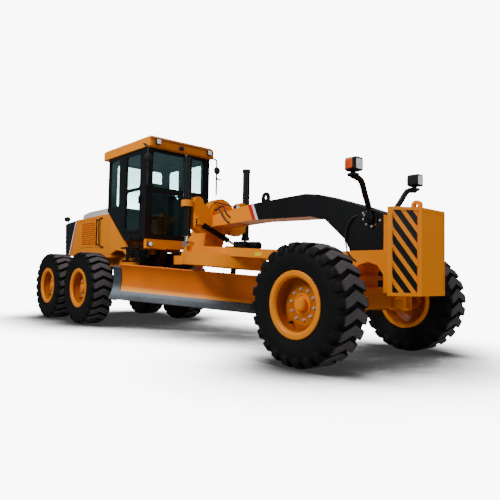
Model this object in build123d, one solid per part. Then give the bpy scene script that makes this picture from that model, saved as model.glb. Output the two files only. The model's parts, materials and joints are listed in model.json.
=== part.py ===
from build123d import *
import os
from math import asin, cos, pi, radians, sin, sqrt, tan

# Motor grader, built in millimetres: +X forward, +Y left, +Z up, the ground at z = 0.
# Every station below is measured from the front axle. The export moves the whole
# machine forward by FRONT_AXLE_X, which puts the origin under the middle of its length.
FRONT_AXLE_X = 3600.0

# Driving dimensions of the chassis
WHEELBASE = 6230.0
TANDEM_SPREAD = 770.0
HALF_TRACK = 1075.0
TANDEM_X = -WHEELBASE
HINGE_X = TANDEM_X + 2380.0
RUN_CLEAR = 0.05
SEAT_CLEAR = 0.3

# Wheels and tyres
TYRE_R = 668.0
TYRE_HALF_W = 222.0
TREAD_HALF_W = 195.0
LUG_DEPTH = 38.0
LUG_W = 72.0
LUG_SWEEP = 80.0
LUG_STEPS = 24
RIM_HALF_W = 190.0
RIM_FLANGE_R = 362.0
BEAD_R = 318.0
RIM_WALL = 14.0
FLANGE_T = 10.0
DISC_INSET = 138.0
DISC_T = 22.0
HUB_R = 75.0
SPINDLE_R = 55.0

# Front axle, steering and wheel lean
AXLE_HALF = HALF_TRACK - 435.0
AXLE_TOP = 848.0
AXLE_BOTTOM = 585.0
AXLE_HALF_X = 88.0
LEAN_Z = 640.0
LEAN_PIN_R = 34.0
KINGPIN_Y = HALF_TRACK - 245.0
KINGPIN_R = 32.0
LEAN_BAR_X = 60.0
LEAN_BAR_Z = 960.0
LEAN_BAR_R = 26.0
ARM_R = 170.0
TIE_ROD_R = 20.0
TIE_ROD_Z = 553.0
TIE_ROD_X = -(ARM_R + TIE_ROD_R + 1.0)

# Front frame: a box beam that arches over the blade
FRAME_HALF_W = 200.0
FRAME_TOP = [(380, 1700), (-90, 1870), (-600, 2030), (-820, 2060), (-1190, 2050), (-1910, 2020),
             (-2830, 1910), (-3240, 1840)]
HINGE_R = 165.0
HINGE_PIN_R = 48.0
HINGE_Z = (1085.0, 1125.0, 1285.0, 1330.0)
PEDESTAL_HALF_W = 250.0
PEDESTAL_TOP = 1280.0
NOSE_BOSS = (215.0, 1650.0)
NOSE_BOSS_R = 95.0
NOSE_BOSS_T = 20.0
FRAME_EYE = (-1780.0, 2130.0)
FRAME_EYE_R = 30.0

# Counterweight at the nose
NOSE_X = 880.0
NOSE_BACK_X = 618.0
NOSE_HALF_FLAT = 256.0
NOSE_HALF_W = 535.0
NOSE_SIDE_X = 670.0
NOSE_BOTTOM = 780.0
NOSE_TOP = 1725.0
LUG_HOLE_R = 25.0
LUG_X = 680.0
LUG_RISE = 60.0
WING_LIP = 34.0
WING_DEPTH = 12.0

# Headlamps: the middle of one housing, its half size and the radius of its post
HEADLAMP = (280.0, 650.0, 2210.0)
HEADLAMP_HALF = 75.0
POST_R = 22.0

# Saddle casting across the frame
SADDLE_X = (-2990.0, -2830.0)
SADDLE_ARCH = (0.0, 1930.0)
SADDLE_ARCH_R = 280.0
SADDLE_HUMP = (460.0, 2110.0)
SADDLE_HUMP_R = 90.0

# Drawbar, circle and blade, in the drawbar's own frame with the ball joint at its origin
BALL = (-330.0, 0.0, 1215.0)
BALL_R = 55.0
NOSE_DOWN = 2.3
ROLL = -3.3
BEAM_HALF_H = 65.0
CIRCLE_BACK = 2370.0
CIRCLE_R = 680.0
CIRCLE_ROOT_R = 590.0
CIRCLE_TIP_R = 560.0
CIRCLE_TOP = -75.0
CIRCLE_BOTTOM = -235.0
CIRCLE_TEETH = 64
BLADE_TURN = 35.7
BLADE_HALF = 1830.0
BIT_W = 150.0
BLADE_SHIFT = BLADE_HALF + BIT_W - 2090.0
BLADE_R = 420.0
BLADE_T = 22.0
BLADE_TOP = -330.0
BLADE_BOTTOM = -940.0
BLADE_EDGE_N = -200.0
EDGE_T = 16.0
TIP_N = -430.0
TIP_Z = -740.0
TIP_PIN_R = 28.0
ARM_U = 560.0
ARM_T = 60.0
CARRIER_U = 490.0
CARRIER_T = 40.0
BLADE_MID = (BLADE_TOP + BLADE_BOTTOM) / 2
BLADE_CENTRE_N = BLADE_EDGE_N + sqrt(BLADE_R ** 2 - ((BLADE_TOP - BLADE_BOTTOM) / 2) ** 2)
RAIL_HALF = 1150.0
RAIL_OUT = 60.0
RAIL_HALF_H = 20.0
RAIL_UP_Z = BLADE_TOP - 120.0
RAIL_LOW_Z = BLADE_BOTTOM + 100.0
SLIDE_CLEAR = 1.0
CARRIER_GAP = 14.0
SHIFT_CYL_Z = -620.0
SHIFT_CYL_R = 42.0
SHIFT_CYL_ROD_R = 25.0

# Cylinders
LIFT_X = -2930.0
LIFT_Y = 620.0
LIFT_TRUNNION_Z = 2100.0
LIFT_BARREL_R = 62.0
LIFT_ROD_R = 30.0
LIFT_BARREL_Z = (1560.0, 2810.0)
LIFT_EYE_Z = 1400.0
SHIFT_TOP = (-2770.0, -500.0, 1780.0)
SHIFT_EYE = (-2770.0, 400.0, 1400.0)
SHIFT_PIN_R = 14.0
TIP_CYL_TOP = (0.0, 600.0, -300.0)
TIP_CYL_EYE = (0.0, 630.0, TIP_Z)

# Rear frame, hood and cab
RAIL_Y = 330.0
RAIL_W = 120.0
RAIL_Z = (1090.0, 1300.0)
REAR_X = TANDEM_X - 1770.0
HITCH_R = 22.0
HITCH_HALF_H = 65.0
HOOD_HALF_W = 600.0
HOOD_WALL = 30.0
HOOD_BOTTOM = 1310.0
HOOD_FRONT_X = TANDEM_X + 640.0
HOOD_TOP_REAR_X = TANDEM_X - 940.0
HOOD_LOW_REAR_X = TANDEM_X - 1290.0
HOOD_DOOR_X = (TANDEM_X - 850.0, TANDEM_X + 50.0)
HOOD_DOOR_Z = (1480.0, 2060.0)
VENT_X = (TANDEM_X - 710.0, TANDEM_X - 40.0)
VENT_ROWS = 11
VENT_PITCH = 44.0
CAB_FRONT_X = TANDEM_X + 2130.0
CAB_REAR_X = TANDEM_X + 680.0
CAB_KNEE_X = TANDEM_X + 1390.0
CAB_HALF_W = 690.0
CAB_BOTTOM = 1560.0
CAB_KNEE_Z = 2160.0
CAB_WALL = 45.0
ROOF_HALF_W = 712.0
ROOF_TOP = 3380.0
CAB_TOP = ROOF_TOP - 190.0
GLASS_T = 8.0
LEAF_GAP = 7.0
WINDOW_R = 60.0
STEP_Z = (1400.0, 1160.0)
STEP_T = 30.0
STRAP_T = 12.0
GRAB_R = 14.0
GRAB_X = TANDEM_X + 150.0
GRAB_Z = (1500.0, 2050.0)
CAB_DOOR_X = (CAB_FRONT_X - 800.0, CAB_FRONT_X - 160.0)
CAB_DOOR_Z = (CAB_BOTTOM + 130.0, CAB_TOP - 30.0)
DOOR_WINDOWS = ((CAB_TOP - 690.0, CAB_TOP - 80.0), (CAB_DOOR_Z[0] + 50.0, CAB_TOP - 740.0))
QUARTER_X = (CAB_REAR_X + 60.0, CAB_REAR_X + 450.0)
QUARTER_Z = (CAB_KNEE_Z + 50.0, CAB_TOP - 70.0)


# A block between two corners
def block(x0, x1, y0, y1, z0, z1):
    size = (abs(x1 - x0), abs(y1 - y0), abs(z1 - z0))
    return Pos((x0 + x1) / 2, (y0 + y1) / 2, (z0 + z1) / 2) * Box(*size)


# A plate cut to a side outline, its thickness across the machine
def side_plate(points, y0, y1, corner=0.0):
    outline = make_face(Polyline(*points, close=True))
    if corner > 0:
        outline = fillet(outline.vertices(), corner)
    face = Plane.XZ * outline
    return Pos(0, (y0 + y1) / 2, 0) * extrude(face, abs(y1 - y0) / 2, both=True)


# A plate cut to a plan outline, its thickness upwards
def plan_plate(points, z0, z1):
    outline = make_face(Polyline(*points, close=True))
    return Pos(0, 0, z0) * extrude(outline, z1 - z0)


# A plate cut to an outline of (across, up) points, its thickness along the machine
def front_plate(outline, x0, x1):
    face = Plane(origin=(x0, 0, 0), x_dir=(0, 1, 0), z_dir=(1, 0, 0)) * outline
    return extrude(face, x1 - x0)


# Round bars along each axis, from the middle of one end
def bar_x(x0, x1, y, z, radius):
    return Pos((x0 + x1) / 2, y, z) * Rot(0, 90, 0) * Cylinder(radius, abs(x1 - x0))


def bar_y(y0, y1, x, z, radius):
    return Pos(x, (y0 + y1) / 2, z) * Rot(90, 0, 0) * Cylinder(radius, abs(y1 - y0))


def bar_z(z0, z1, x, y, radius):
    return Pos(x, y, (z0 + z1) / 2) * Cylinder(radius, abs(z1 - z0))


# A round bar between two points in space
def rod(start, end, radius):
    a = Vector(*start)
    b = Vector(*end)
    return Plane(origin=a, z_dir=b - a) * Pos(0, 0, (b - a).length / 2) * Cylinder(radius, (b - a).length)


# The same shape on the other side of the machine
def mirrored(shape):
    return mirror(shape, about=Plane.XZ)


def both_sides(shape):
    return [shape, mirrored(shape)]


# Writes one node, given as a solid or as a list of solids that don't touch
def write(name, solids):
    parts = []
    for shape in solids if isinstance(solids, list) else [solids]:
        parts.extend(shape.solids())
    moved = [Pos(FRONT_AXLE_X, 0, 0) * part for part in parts]
    whole = moved[0] if len(moved) == 1 else Compound(children=moved)
    export_step(whole, "parts/" + name + ".step")


# Wheel: the outline is turned about the axle, which runs along Y
def turned(rows):
    outline = make_face(Polyline(*rows, close=True))
    return revolve(outline, Axis.Y)


# One flat-sided ring of the tyre's carcass at a distance from the wheel's middle
def tyre_ring(radius, y):
    plane = Plane(origin=(0, y, 0), x_dir=(1, 0, 0), z_dir=(0, -1, 0))
    return plane * RegularPolygon(radius, LUG_STEPS, major_radius=False)


# A chevron lug across the tread; its top corners are on the tyre's outer radius
def tyre_lug():
    tip = (LUG_SWEEP + LUG_W) / 2
    heel = (LUG_SWEEP - LUG_W) / 2
    outline = make_face(Polyline((-tip, -TREAD_HALF_W), (-heel, -TREAD_HALF_W), (tip, 0), (-heel, TREAD_HALF_W),
                                 (-tip, TREAD_HALF_W), (heel, 0), close=True))
    top = sqrt(TYRE_R ** 2 - tip ** 2)
    root = TYRE_R - 3 * LUG_DEPTH
    return Pos(0, 0, root) * extrude(outline, top - root)


# Tyre: rings from bead to bead, columns: radius, distance from the wheel's middle
def tyre():
    bead = RIM_HALF_W - SEAT_CLEAR
    tread_r = TYRE_R - LUG_DEPTH
    half = [(RIM_FLANGE_R, bead), (RIM_FLANGE_R + 140, TYRE_HALF_W), (tread_r, TREAD_HALF_W)]
    rows = [(r, -y) for r, y in half] + half[::-1]
    body = loft([tyre_ring(r, y) for r, y in rows], ruled=True)
    body = body - extrude(tyre_ring(BEAD_R + SEAT_CLEAR, 0), TYRE_HALF_W + 10, both=True)
    step = 360 / LUG_STEPS
    lugs = [Rot(0, (row + 0.5) * step, 0) * tyre_lug() for row in range(LUG_STEPS)]
    return body.fuse(*lugs)


# Rim with its disc and hub, the outer face towards +Y
def rim():
    flange = RIM_HALF_W + FLANGE_T
    face = flange - DISC_INSET
    rows = [(BEAD_R, -RIM_HALF_W), (RIM_FLANGE_R, -RIM_HALF_W), (RIM_FLANGE_R, -flange),
            (BEAD_R - RIM_WALL, -flange), (BEAD_R - RIM_WALL, face - DISC_T - 40), (220, face - DISC_T),
            (SPINDLE_R + RUN_CLEAR, face - DISC_T), (SPINDLE_R + RUN_CLEAR, face + 20), (0, face + 20),
            (0, face + 60), (HUB_R - 12, face + 60), (HUB_R, face + 48), (HUB_R, face), (220, face),
            (BEAD_R - RIM_WALL, face - 30), (BEAD_R - RIM_WALL, flange), (RIM_FLANGE_R, flange),
            (RIM_FLANGE_R, RIM_HALF_W), (BEAD_R, RIM_HALF_W)]
    return turned(rows)


# A left wheel's piece moved to its axle, or its mirror image on the right
def wheel_at(shape, x, left):
    placed = Pos(x, HALF_TRACK, TYRE_R) * shape
    return placed if left else mirrored(placed)


def write_wheels():
    wheels = [("front", 0.0), ("mid", TANDEM_X + TANDEM_SPREAD), ("rear", TANDEM_X - TANDEM_SPREAD)]
    one_tyre = tyre()
    one_rim = rim()
    for name, x in wheels:
        for side in ("left", "right"):
            write(f"tyre_{name}_{side}", wheel_at(one_tyre, x, side == "left"))
            write(f"rim_{name}_{side}", wheel_at(one_rim, x, side == "left"))


# Front axle beam with its clevises and the barrel of the steering cylinder
def front_axle():
    waist = AXLE_HALF - 110.0
    beam = block(-AXLE_HALF_X, AXLE_HALF_X, -waist, waist, AXLE_BOTTOM, AXLE_TOP)
    beam = beam - block(-AXLE_HALF_X, AXLE_HALF_X, 300, waist, AXLE_TOP - 70, AXLE_TOP)
    beam = beam - block(-AXLE_HALF_X, AXLE_HALF_X, -waist, -300, AXLE_TOP - 70, AXLE_TOP)
    for x in (-AXLE_HALF_X - 32, AXLE_HALF_X):
        cheek = block(x, x + 32, waist - 90, AXLE_HALF, LEAN_Z - 60, LEAN_Z + 60)
        cheek = cheek + bar_x(x, x + 32, AXLE_HALF, LEAN_Z, 60)
        beam = beam + cheek + mirrored(cheek)
    pin = bar_x(-AXLE_HALF_X - 40, AXLE_HALF_X + 40, AXLE_HALF, LEAN_Z, LEAN_PIN_R)
    beam = beam + pin + mirrored(pin)
    barrel = bar_y(-230, 230, TIE_ROD_X, TIE_ROD_Z, 42)
    barrel = barrel + block(TIE_ROD_X, -AXLE_HALF_X, -60, 60, TIE_ROD_Z - 30, AXLE_BOTTOM + 70)
    return (beam + barrel) - bar_y(-240, 240, TIE_ROD_X, TIE_ROD_Z, TIE_ROD_R + RUN_CLEAR)


# Left lean link: it leans about its pin and carries the kingpin and the lean bar's arm
def lean_link():
    inner = AXLE_HALF_X - 6.0
    body = bar_x(-inner, inner, AXLE_HALF, LEAN_Z, 72)
    body = body + block(-55, 55, AXLE_HALF, KINGPIN_Y - 30, LEAN_Z - 55, LEAN_Z + 75)
    body = body + bar_z(LEAN_Z - 55, LEAN_Z + 75, 0, KINGPIN_Y, 52)
    arm = block(10, 60, AXLE_HALF + 15, AXLE_HALF + 75, LEAN_Z, LEAN_BAR_Z)
    arm = arm + bar_x(10, 60, AXLE_HALF + 45, LEAN_BAR_Z, 42)
    body = body + arm - bar_x(-inner, inner, AXLE_HALF, LEAN_Z, LEAN_PIN_R + RUN_CLEAR)
    return body - bar_z(0, LEAN_Z + 80, 0, KINGPIN_Y, KINGPIN_R + RUN_CLEAR)


# Left knuckle: fork on the kingpin, spindle and steering arm
def knuckle():
    low = LEAN_Z - 61.0
    high = LEAN_Z + 81.0
    fork = bar_z(low - 40, low, 0, KINGPIN_Y, 60) + bar_z(high, high + 40, 0, KINGPIN_Y, 60)
    fork = fork + block(-60, 60, KINGPIN_Y, KINGPIN_Y + 100, low - 40, low)
    fork = fork + block(-60, 60, KINGPIN_Y, KINGPIN_Y + 100, high, high + 40)
    fork = fork + block(-90, 90, KINGPIN_Y + 62, KINGPIN_Y + 100, low - 40, high + 40)
    fork = fork + bar_z(low - 46, high + 46, 0, KINGPIN_Y, KINGPIN_R)
    end = HALF_TRACK + RIM_HALF_W + FLANGE_T - DISC_INSET + 14.0
    spindle = bar_y(KINGPIN_Y + 80, end, 0, TYRE_R, SPINDLE_R)
    arm = bar_z(low - 44, low - 7, 0, KINGPIN_Y, ARM_R)
    arm = arm & block(-ARM_R, -20, KINGPIN_Y - 32, KINGPIN_Y + 32, low - 44, low - 7)
    return fork + spindle + arm


def tie_rod():
    return bar_y(-KINGPIN_Y - 20, KINGPIN_Y + 20, TIE_ROD_X, TIE_ROD_Z, TIE_ROD_R)


def lean_bar():
    half = AXLE_HALF + 85.0
    return block(LEAN_BAR_X, LEAN_BAR_X + 2 * LEAN_BAR_R, -half, half, LEAN_BAR_Z - LEAN_BAR_R, LEAN_BAR_Z + LEAN_BAR_R)


# Front frame: nose on the pedestal, arch, rear leg and the knuckle of the centre hinge
def front_frame():
    low_z, leg_z, top_z, _ = HINGE_Z
    under = [(HINGE_X, leg_z + 5), (HINGE_X + 360, leg_z + 5), (HINGE_X + 410, 1240),
             (HINGE_X + 450, 1360), (HINGE_X + 720, 1370), (HINGE_X + 820, 1430), (HINGE_X + 870, 1610),
             (HINGE_X + 1050, 1740), (-1860, 1780), (-1180, 1760), (-730, 1750), (-480, 1690),
             (-160, 1420), (-90, PEDESTAL_TOP), (380, PEDESTAL_TOP)]
    back = [(HINGE_X + 420, 1630), (HINGE_X + 300, 1430), (HINGE_X + 180, 1340),
            (HINGE_X + 172, top_z - 5), (HINGE_X, top_z - 5)]
    beam = side_plate(FRAME_TOP + back + under, -FRAME_HALF_W, FRAME_HALF_W)
    knuckle_end = bar_z(leg_z + 5, top_z - 5, HINGE_X, 0, FRAME_HALF_W)
    eye_x, eye_z = FRAME_EYE
    eye = bar_y(-15, 15, eye_x, eye_z, 80) + block(eye_x - 80, eye_x + 80, -15, 15, eye_z - 120, eye_z)
    eye = eye - bar_y(-20, 20, eye_x, eye_z, FRAME_EYE_R)
    side = FRAME_HALF_W + NOSE_BOSS_T
    boss = bar_y(-side, side, NOSE_BOSS[0], NOSE_BOSS[1], NOSE_BOSS_R)
    body = beam + knuckle_end + eye + boss
    return body - bar_z(low_z, top_z, HINGE_X, 0, HINGE_PIN_R + RUN_CLEAR)


# Pedestal under the nose, with the arch that the lean bar passes through
def pedestal():
    points = [(-200, AXLE_TOP), (-200, PEDESTAL_TOP), (NOSE_BACK_X, PEDESTAL_TOP), (NOSE_BACK_X, 800),
              (410, 800), (410, 1000), (330, 1110), (200, 1150), (70, 1110), (10, 1020), (10, AXLE_TOP)]
    body = side_plate(points, -PEDESTAL_HALF_W, PEDESTAL_HALF_W)
    neck = side_plate([(380, PEDESTAL_TOP), (380, 1690), (NOSE_BACK_X, 1500), (NOSE_BACK_X, PEDESTAL_TOP)],
                      -FRAME_HALF_W, FRAME_HALF_W)
    socket = block(BALL[0] - 20, -200, -95, 95, BALL[2] - 85, PEDESTAL_TOP - 5)
    socket = socket - Pos(*BALL) * Rot(0, 90, 0) * Sphere(BALL_R + SEAT_CLEAR)
    socket = socket - rod((BALL[0] - 200, 0, BALL[2]), (BALL[0], 0, BALL[2]), BALL_R + 12)
    return body + neck + socket


# Counterweight: a prow of three panels, the wings recessed inside a lip, and the lifting lug on top
def counterweight():
    plan = [(NOSE_BACK_X, 34 - NOSE_HALF_W), (NOSE_BACK_X + 34, -NOSE_HALF_W), (NOSE_SIDE_X, -NOSE_HALF_W),
            (NOSE_X, -NOSE_HALF_FLAT), (NOSE_X, NOSE_HALF_FLAT), (NOSE_SIDE_X, NOSE_HALF_W),
            (NOSE_BACK_X + 34, NOSE_HALF_W), (NOSE_BACK_X, NOSE_HALF_W - 34)]
    body = plan_plate(plan, NOSE_BOTTOM, NOSE_TOP)
    body = body - block(NOSE_X - 6, NOSE_X + 10, -NOSE_HALF_FLAT + 16, NOSE_HALF_FLAT - 16, NOSE_BOTTOM + 60,
                        NOSE_TOP - 40)
    inner = Vector(NOSE_X, NOSE_HALF_FLAT, (NOSE_BOTTOM + NOSE_TOP) / 2)
    outer = Vector(NOSE_SIDE_X, NOSE_HALF_W, inner.Z)
    along = outer - inner
    wing = Plane(origin=(inner + outer) * 0.5, x_dir=along, z_dir=Vector(along.Y, -along.X, 0))
    recess = wing * Box(along.length - 2 * WING_LIP, NOSE_TOP - NOSE_BOTTOM - 2 * WING_LIP, 2 * WING_DEPTH)
    lug = bar_y(-14, 14, LUG_X, NOSE_TOP + LUG_RISE, 62)
    lug = lug + block(LUG_X - 62, LUG_X + 62, -14, 14, NOSE_TOP, NOSE_TOP + LUG_RISE)
    lug = lug - bar_y(-20, 20, LUG_X, NOSE_TOP + LUG_RISE, LUG_HOLE_R)
    return body - recess - mirrored(recess) + lug


# Headlamps on their curved posts
def headlamps():
    x, y, z = HEADLAMP
    half = HEADLAMP_HALF
    lamp = fillet(block(x - half, x + half, y - half, y + half, z - half, z + half).edges().filter_by(Axis.X), 25)
    lamp = chamfer(lamp.faces().sort_by(Axis.X)[0].edges(), 20)
    foot = block(x - 35, x + 35, y - 50, y + 60, z - half - 40, z - half - 25)
    foot = foot + bar_z(z - half - 30, z - half + 5, x, y, 20)
    side = FRAME_HALF_W + NOSE_BOSS_T
    base_x, base_z = NOSE_BOSS
    route = FilletPolyline((base_x, side + 24, base_z - 20), (base_x + 5, side + 34, base_z + 120),
                           (x - 10, y - 170, z - 160), (x, y + 20, z - half - 45), radius=60)
    post = sweep(Plane(origin=route @ 0, z_dir=route % 0) * Circle(POST_R), path=route)
    base = block(base_x - 50, base_x + 50, side, side + 26, base_z - 50, base_z + 50)
    return both_sides(lamp + foot + post + base) + [work_light()]


# Round work light on a bent stay from the saddle's face
def work_light():
    x = SADDLE_X[1]
    bend = (x + 60, -150, 2130)
    lamp = bar_x(x + 260, x + 310, 90, 2050, 45)
    stay = bar_x(x, bend[0], bend[1], bend[2], 9) + Pos(*bend) * Sphere(9) + rod(bend, (x + 275, 80, 2060), 9)
    return lamp + stay


# Saddle casting over the frame: an arch, a hump and an arm out to each lift cylinder, and the shift pin's clevis
def saddle():
    x0, x1 = SADDLE_X
    hump_y, hump_z = SADDLE_HUMP
    outline = Pos(*SADDLE_ARCH) * Circle(SADDLE_ARCH_R)
    web = make_face(Polyline((-250, 1640), (-400, 1620), (-530, 1700), (-545, 2000), (-hump_y - 60, hump_z),
                             (-hump_y, hump_z + 60), (-270, 2040), (270, 2040), (hump_y, hump_z + 60),
                             (hump_y + 60, hump_z), (545, 2000), (530, 1700), (400, 1620), (250, 1640), close=True))
    outline = outline + web
    for side in (-1, 1):
        outline = outline + Pos(side * hump_y, hump_z) * Circle(SADDLE_HUMP_R)
    body = front_plate(outline, x0, x1)
    ridge = front_plate(Pos(*SADDLE_ARCH) * (Circle(SADDLE_ARCH_R - 60) - Circle(SADDLE_ARCH_R - 95)), x1, x1 + 16)
    half_block = block(LIFT_X - 60, LIFT_X + 60, hump_y, LIFT_Y, LIFT_TRUNNION_Z - 70, LIFT_TRUNNION_Z + 30)
    ring = bar_z(LIFT_TRUNNION_Z - 70, LIFT_TRUNNION_Z + 30, LIFT_X, LIFT_Y, LIFT_BARREL_R + 34)
    arm = half_block + ring
    body = body + ridge + arm + mirrored(arm)
    for side in (-1, 1):
        body = body - bar_z(1500, 2800, LIFT_X, side * LIFT_Y, LIFT_BARREL_R + SEAT_CLEAR)
    lap = x1 + 40
    rear, front = FRAME_TOP[-1], FRAME_TOP[-2]
    through = [rear, front, (lap, front[1] + 6), (lap, 1400), (rear[0], 1400)]
    body = body - side_plate(through, -FRAME_HALF_W, FRAME_HALF_W)
    x, y, z = SHIFT_TOP
    clevis = block(x1, x + 52, y - 60, y + 60, z + 55, z + 80)
    for near, far in ((x1, x - 23), (x + 23, x + 52)):
        clevis = clevis + block(near, far, y - 45, y + 45, z - 40, z + 80)
    return body + clevis + bar_x(x1, x + 52, y, z, SHIFT_PIN_R)


# Lift cylinders: barrels through the saddle's rings, with a pipe along each
def lift_barrels():
    low, high = LIFT_BARREL_Z
    barrel = bar_z(low, high, LIFT_X, LIFT_Y, LIFT_BARREL_R)
    barrel = barrel + bar_z(low, low + 60, LIFT_X, LIFT_Y, LIFT_BARREL_R + 12)
    barrel = barrel + bar_z(high - 50, high, LIFT_X, LIFT_Y, LIFT_BARREL_R + 8)
    pipe_y = LIFT_Y + LIFT_BARREL_R + 14
    pipe = bar_z(low + 20, LIFT_TRUNNION_Z - 90, LIFT_X, pipe_y, 7)
    for z in (low + 20, LIFT_TRUNNION_Z - 110):
        pipe = pipe + block(LIFT_X - 12, LIFT_X + 12, LIFT_Y + LIFT_BARREL_R - 5, pipe_y + 10, z, z + 20)
    return both_sides(barrel + pipe - bar_z(low, high - 60, LIFT_X, LIFT_Y, LIFT_ROD_R + RUN_CLEAR))


def lift_eye_z(side):
    return LIFT_EYE_Z - side * LIFT_Y * tan(radians(-ROLL))


# Lift rods, each ending in an eye beside the drawbar's lug
def lift_rods():
    rods = []
    for side in (1, -1):
        eye_z = lift_eye_z(side)
        y = side * LIFT_Y
        shape = bar_z(eye_z, LIFT_BARREL_Z[0] + 780, LIFT_X, y, LIFT_ROD_R)
        rods.append(shape + bar_y(y - 34, y + 34, LIFT_X, eye_z, 52))
    return rods


# Moves a shape from the drawbar's own frame to the machine
def on_drawbar(shape):
    return Pos(*BALL) * Rot(0, NOSE_DOWN, 0) * Rot(ROLL, 0, 0) * shape


# Centre-shift cylinder: its pin on the saddle and its eye at the drawbar
def shift_barrel():
    top = Vector(*SHIFT_TOP)
    way = (Vector(*SHIFT_EYE) - top).normalized()
    end = top + way * 640
    body = rod(tuple(top + way * 110), tuple(end), 45)
    body = body - rod(tuple(top + way * 150), tuple(end + way * 10), 22 + RUN_CLEAR)
    x, y, z = SHIFT_TOP
    eye = bar_x(x - 20, x + 20, y, z, 44) + rod(tuple(top + way * 30), tuple(top + way * 115), 18)
    eye = eye - bar_x(x - 25, x + 25, y, z, SHIFT_PIN_R + RUN_CLEAR)
    return body + eye


def shift_rod():
    top = Vector(*SHIFT_TOP)
    way = (Vector(*SHIFT_EYE) - top).normalized()
    body = rod(tuple(top + way * 200), SHIFT_EYE, 22)
    return body + bar_x(SHIFT_EYE[0] - 20, SHIFT_EYE[0] + 20, SHIFT_EYE[1], SHIFT_EYE[2], 32)


# Drawbar: ball, tongue and A-frame with the rear crossbeam and the circle's guide plate
def drawbar():
    outer = [(-45, -40), (-330, -75), (-1070, -200), (-2600, -560), (-2680, -560), (-2680, 560),
             (-2600, 560), (-1070, 200), (-330, 75), (-45, 40)]
    inner = [(-1150, -80), (-2440, -390), (-2440, 390), (-1150, 80)]
    frame = plan_plate(outer, -BEAM_HALF_H, BEAM_HALF_H) - plan_plate(inner, -BEAM_HALF_H, BEAM_HALF_H)
    guide = Cylinder(CIRCLE_R - 15, 40) - Cylinder(CIRCLE_ROOT_R - 15, 40)
    guide = guide - block(-CIRCLE_R, -330, -CIRCLE_R, CIRCLE_R, -20, 20)
    guide = Pos(-CIRCLE_BACK, 0, CIRCLE_TOP + 20 + 0.5) * guide
    shape = on_drawbar(frame + guide + bar_x(-70, 0, 0, 0, 32)) + Pos(*BALL) * Rot(90, 0, 0) * Sphere(BALL_R)
    for side in (1, -1):
        inner_y = side * (LIFT_Y - 120)
        eye_z = lift_eye_z(side)
        lug = block(LIFT_X - 45, LIFT_X + 45, inner_y, side * (LIFT_Y - 39), eye_z - 125, eye_z)
        lug = lug + bar_y(inner_y, side * (LIFT_Y - 39), LIFT_X, eye_z, 45)
        shape = shape + lug
    post_x = SHIFT_EYE[0] - 30.0
    post = block(post_x - 40, post_x, SHIFT_EYE[1] - 40, SHIFT_EYE[1] + 40, SHIFT_EYE[2] - 110, SHIFT_EYE[2] + 40)
    return shape + post


# Circle drive: gearbox and motor on the drawbar, the pinion in the ring
def circle_drive():
    x = -CIRCLE_BACK + CIRCLE_TIP_R - 85
    box = block(x - 150, x + 130, -130, 130, BEAM_HALF_H, BEAM_HALF_H + 120)
    box = box + block(x - 110, x + 90, -330, 330, BEAM_HALF_H, BEAM_HALF_H + 25)
    motor = bar_x(x + 100, x + 300, 0, BEAM_HALF_H + 70, 60)
    shaft = bar_z(CIRCLE_BOTTOM + 20, BEAM_HALF_H + 10, x, 0, 60)
    return on_drawbar(box + motor + shaft)


# Circle: a ring with teeth inside, in the frame of the circle's axis
def on_circle(shape):
    return on_drawbar(Pos(-CIRCLE_BACK, 0, 0) * Rot(0, 0, BLADE_TURN) * shape)


def circle():
    points = []
    pitch = 2 * pi / CIRCLE_TEETH
    for tooth in range(CIRCLE_TEETH):
        for step, radius in ((0.05, CIRCLE_ROOT_R), (0.45, CIRCLE_ROOT_R), (0.65, CIRCLE_TIP_R), (0.85, CIRCLE_TIP_R)):
            angle = (tooth + step) * pitch
            points.append((radius * cos(angle), radius * sin(angle)))
    ring = extrude(Circle(CIRCLE_R) - make_face(Polyline(*points, close=True)), CIRCLE_TOP - CIRCLE_BOTTOM)
    return on_circle(Pos(0, 0, CIRCLE_BOTTOM) * ring)


# A plate across the blade: its outline in the blade's own (forward, up) plane, thickness along the blade
def across_blade(points, u0, u1):
    outline = make_face(Polyline(*points, close=True))
    face = Plane(origin=(u0, 0, 0), x_dir=(0, -1, 0), z_dir=(-1, 0, 0)) * outline
    return extrude(face, -(u1 - u0))


# A bar along the blade, at a station forward and up
def along_blade(u0, u1, n, z, radius):
    return bar_x(u0, u1, -n, z, radius)


# The blade's curve: how far forward a face of some radius is at a height
def curve_n(radius, z):
    return BLADE_CENTRE_N - sqrt(radius ** 2 - (z - BLADE_MID) ** 2)


def back_n(z):
    return curve_n(BLADE_R + BLADE_T, z)


# Blade arms: they hang from the circle and hold the blade's tip pivot
def blade_arms():
    arms = []
    outline = [(-300, CIRCLE_BOTTOM), (-450, CIRCLE_BOTTOM), (-530, -400), (-530, -700), (-480, TIP_Z - 60),
               (TIP_N, TIP_Z - 65), (TIP_N, -690), (-452, -680), (-452, -420)]
    for side in (1, -1):
        u0 = side * ARM_U - ARM_T / 2
        arm = across_blade(outline, u0, u0 + ARM_T) + along_blade(u0, u0 + ARM_T, TIP_N, TIP_Z, 65)
        pin_u = side * (CARRIER_U - CARRIER_T / 2)
        arm = arm + along_blade(min(pin_u, side * ARM_U), max(pin_u, side * ARM_U), TIP_N, TIP_Z, TIP_PIN_R)
        arms.append(on_circle(arm))
    return arms


# Blade tip cylinder between the circle and the carrier's lever
def tip_barrel():
    top = Vector(*TIP_CYL_TOP)
    way = (Vector(*TIP_CYL_EYE) - top).normalized()
    body = rod(tuple(top), tuple(top + way * 262), 38)
    body = body - rod(tuple(top + way * 50), tuple(top + way * 270), 20 + RUN_CLEAR)
    bracket = block(-40, 40, 565, 640, TIP_CYL_TOP[2] - 30, CIRCLE_BOTTOM)
    return on_circle(body + bracket)


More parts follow.
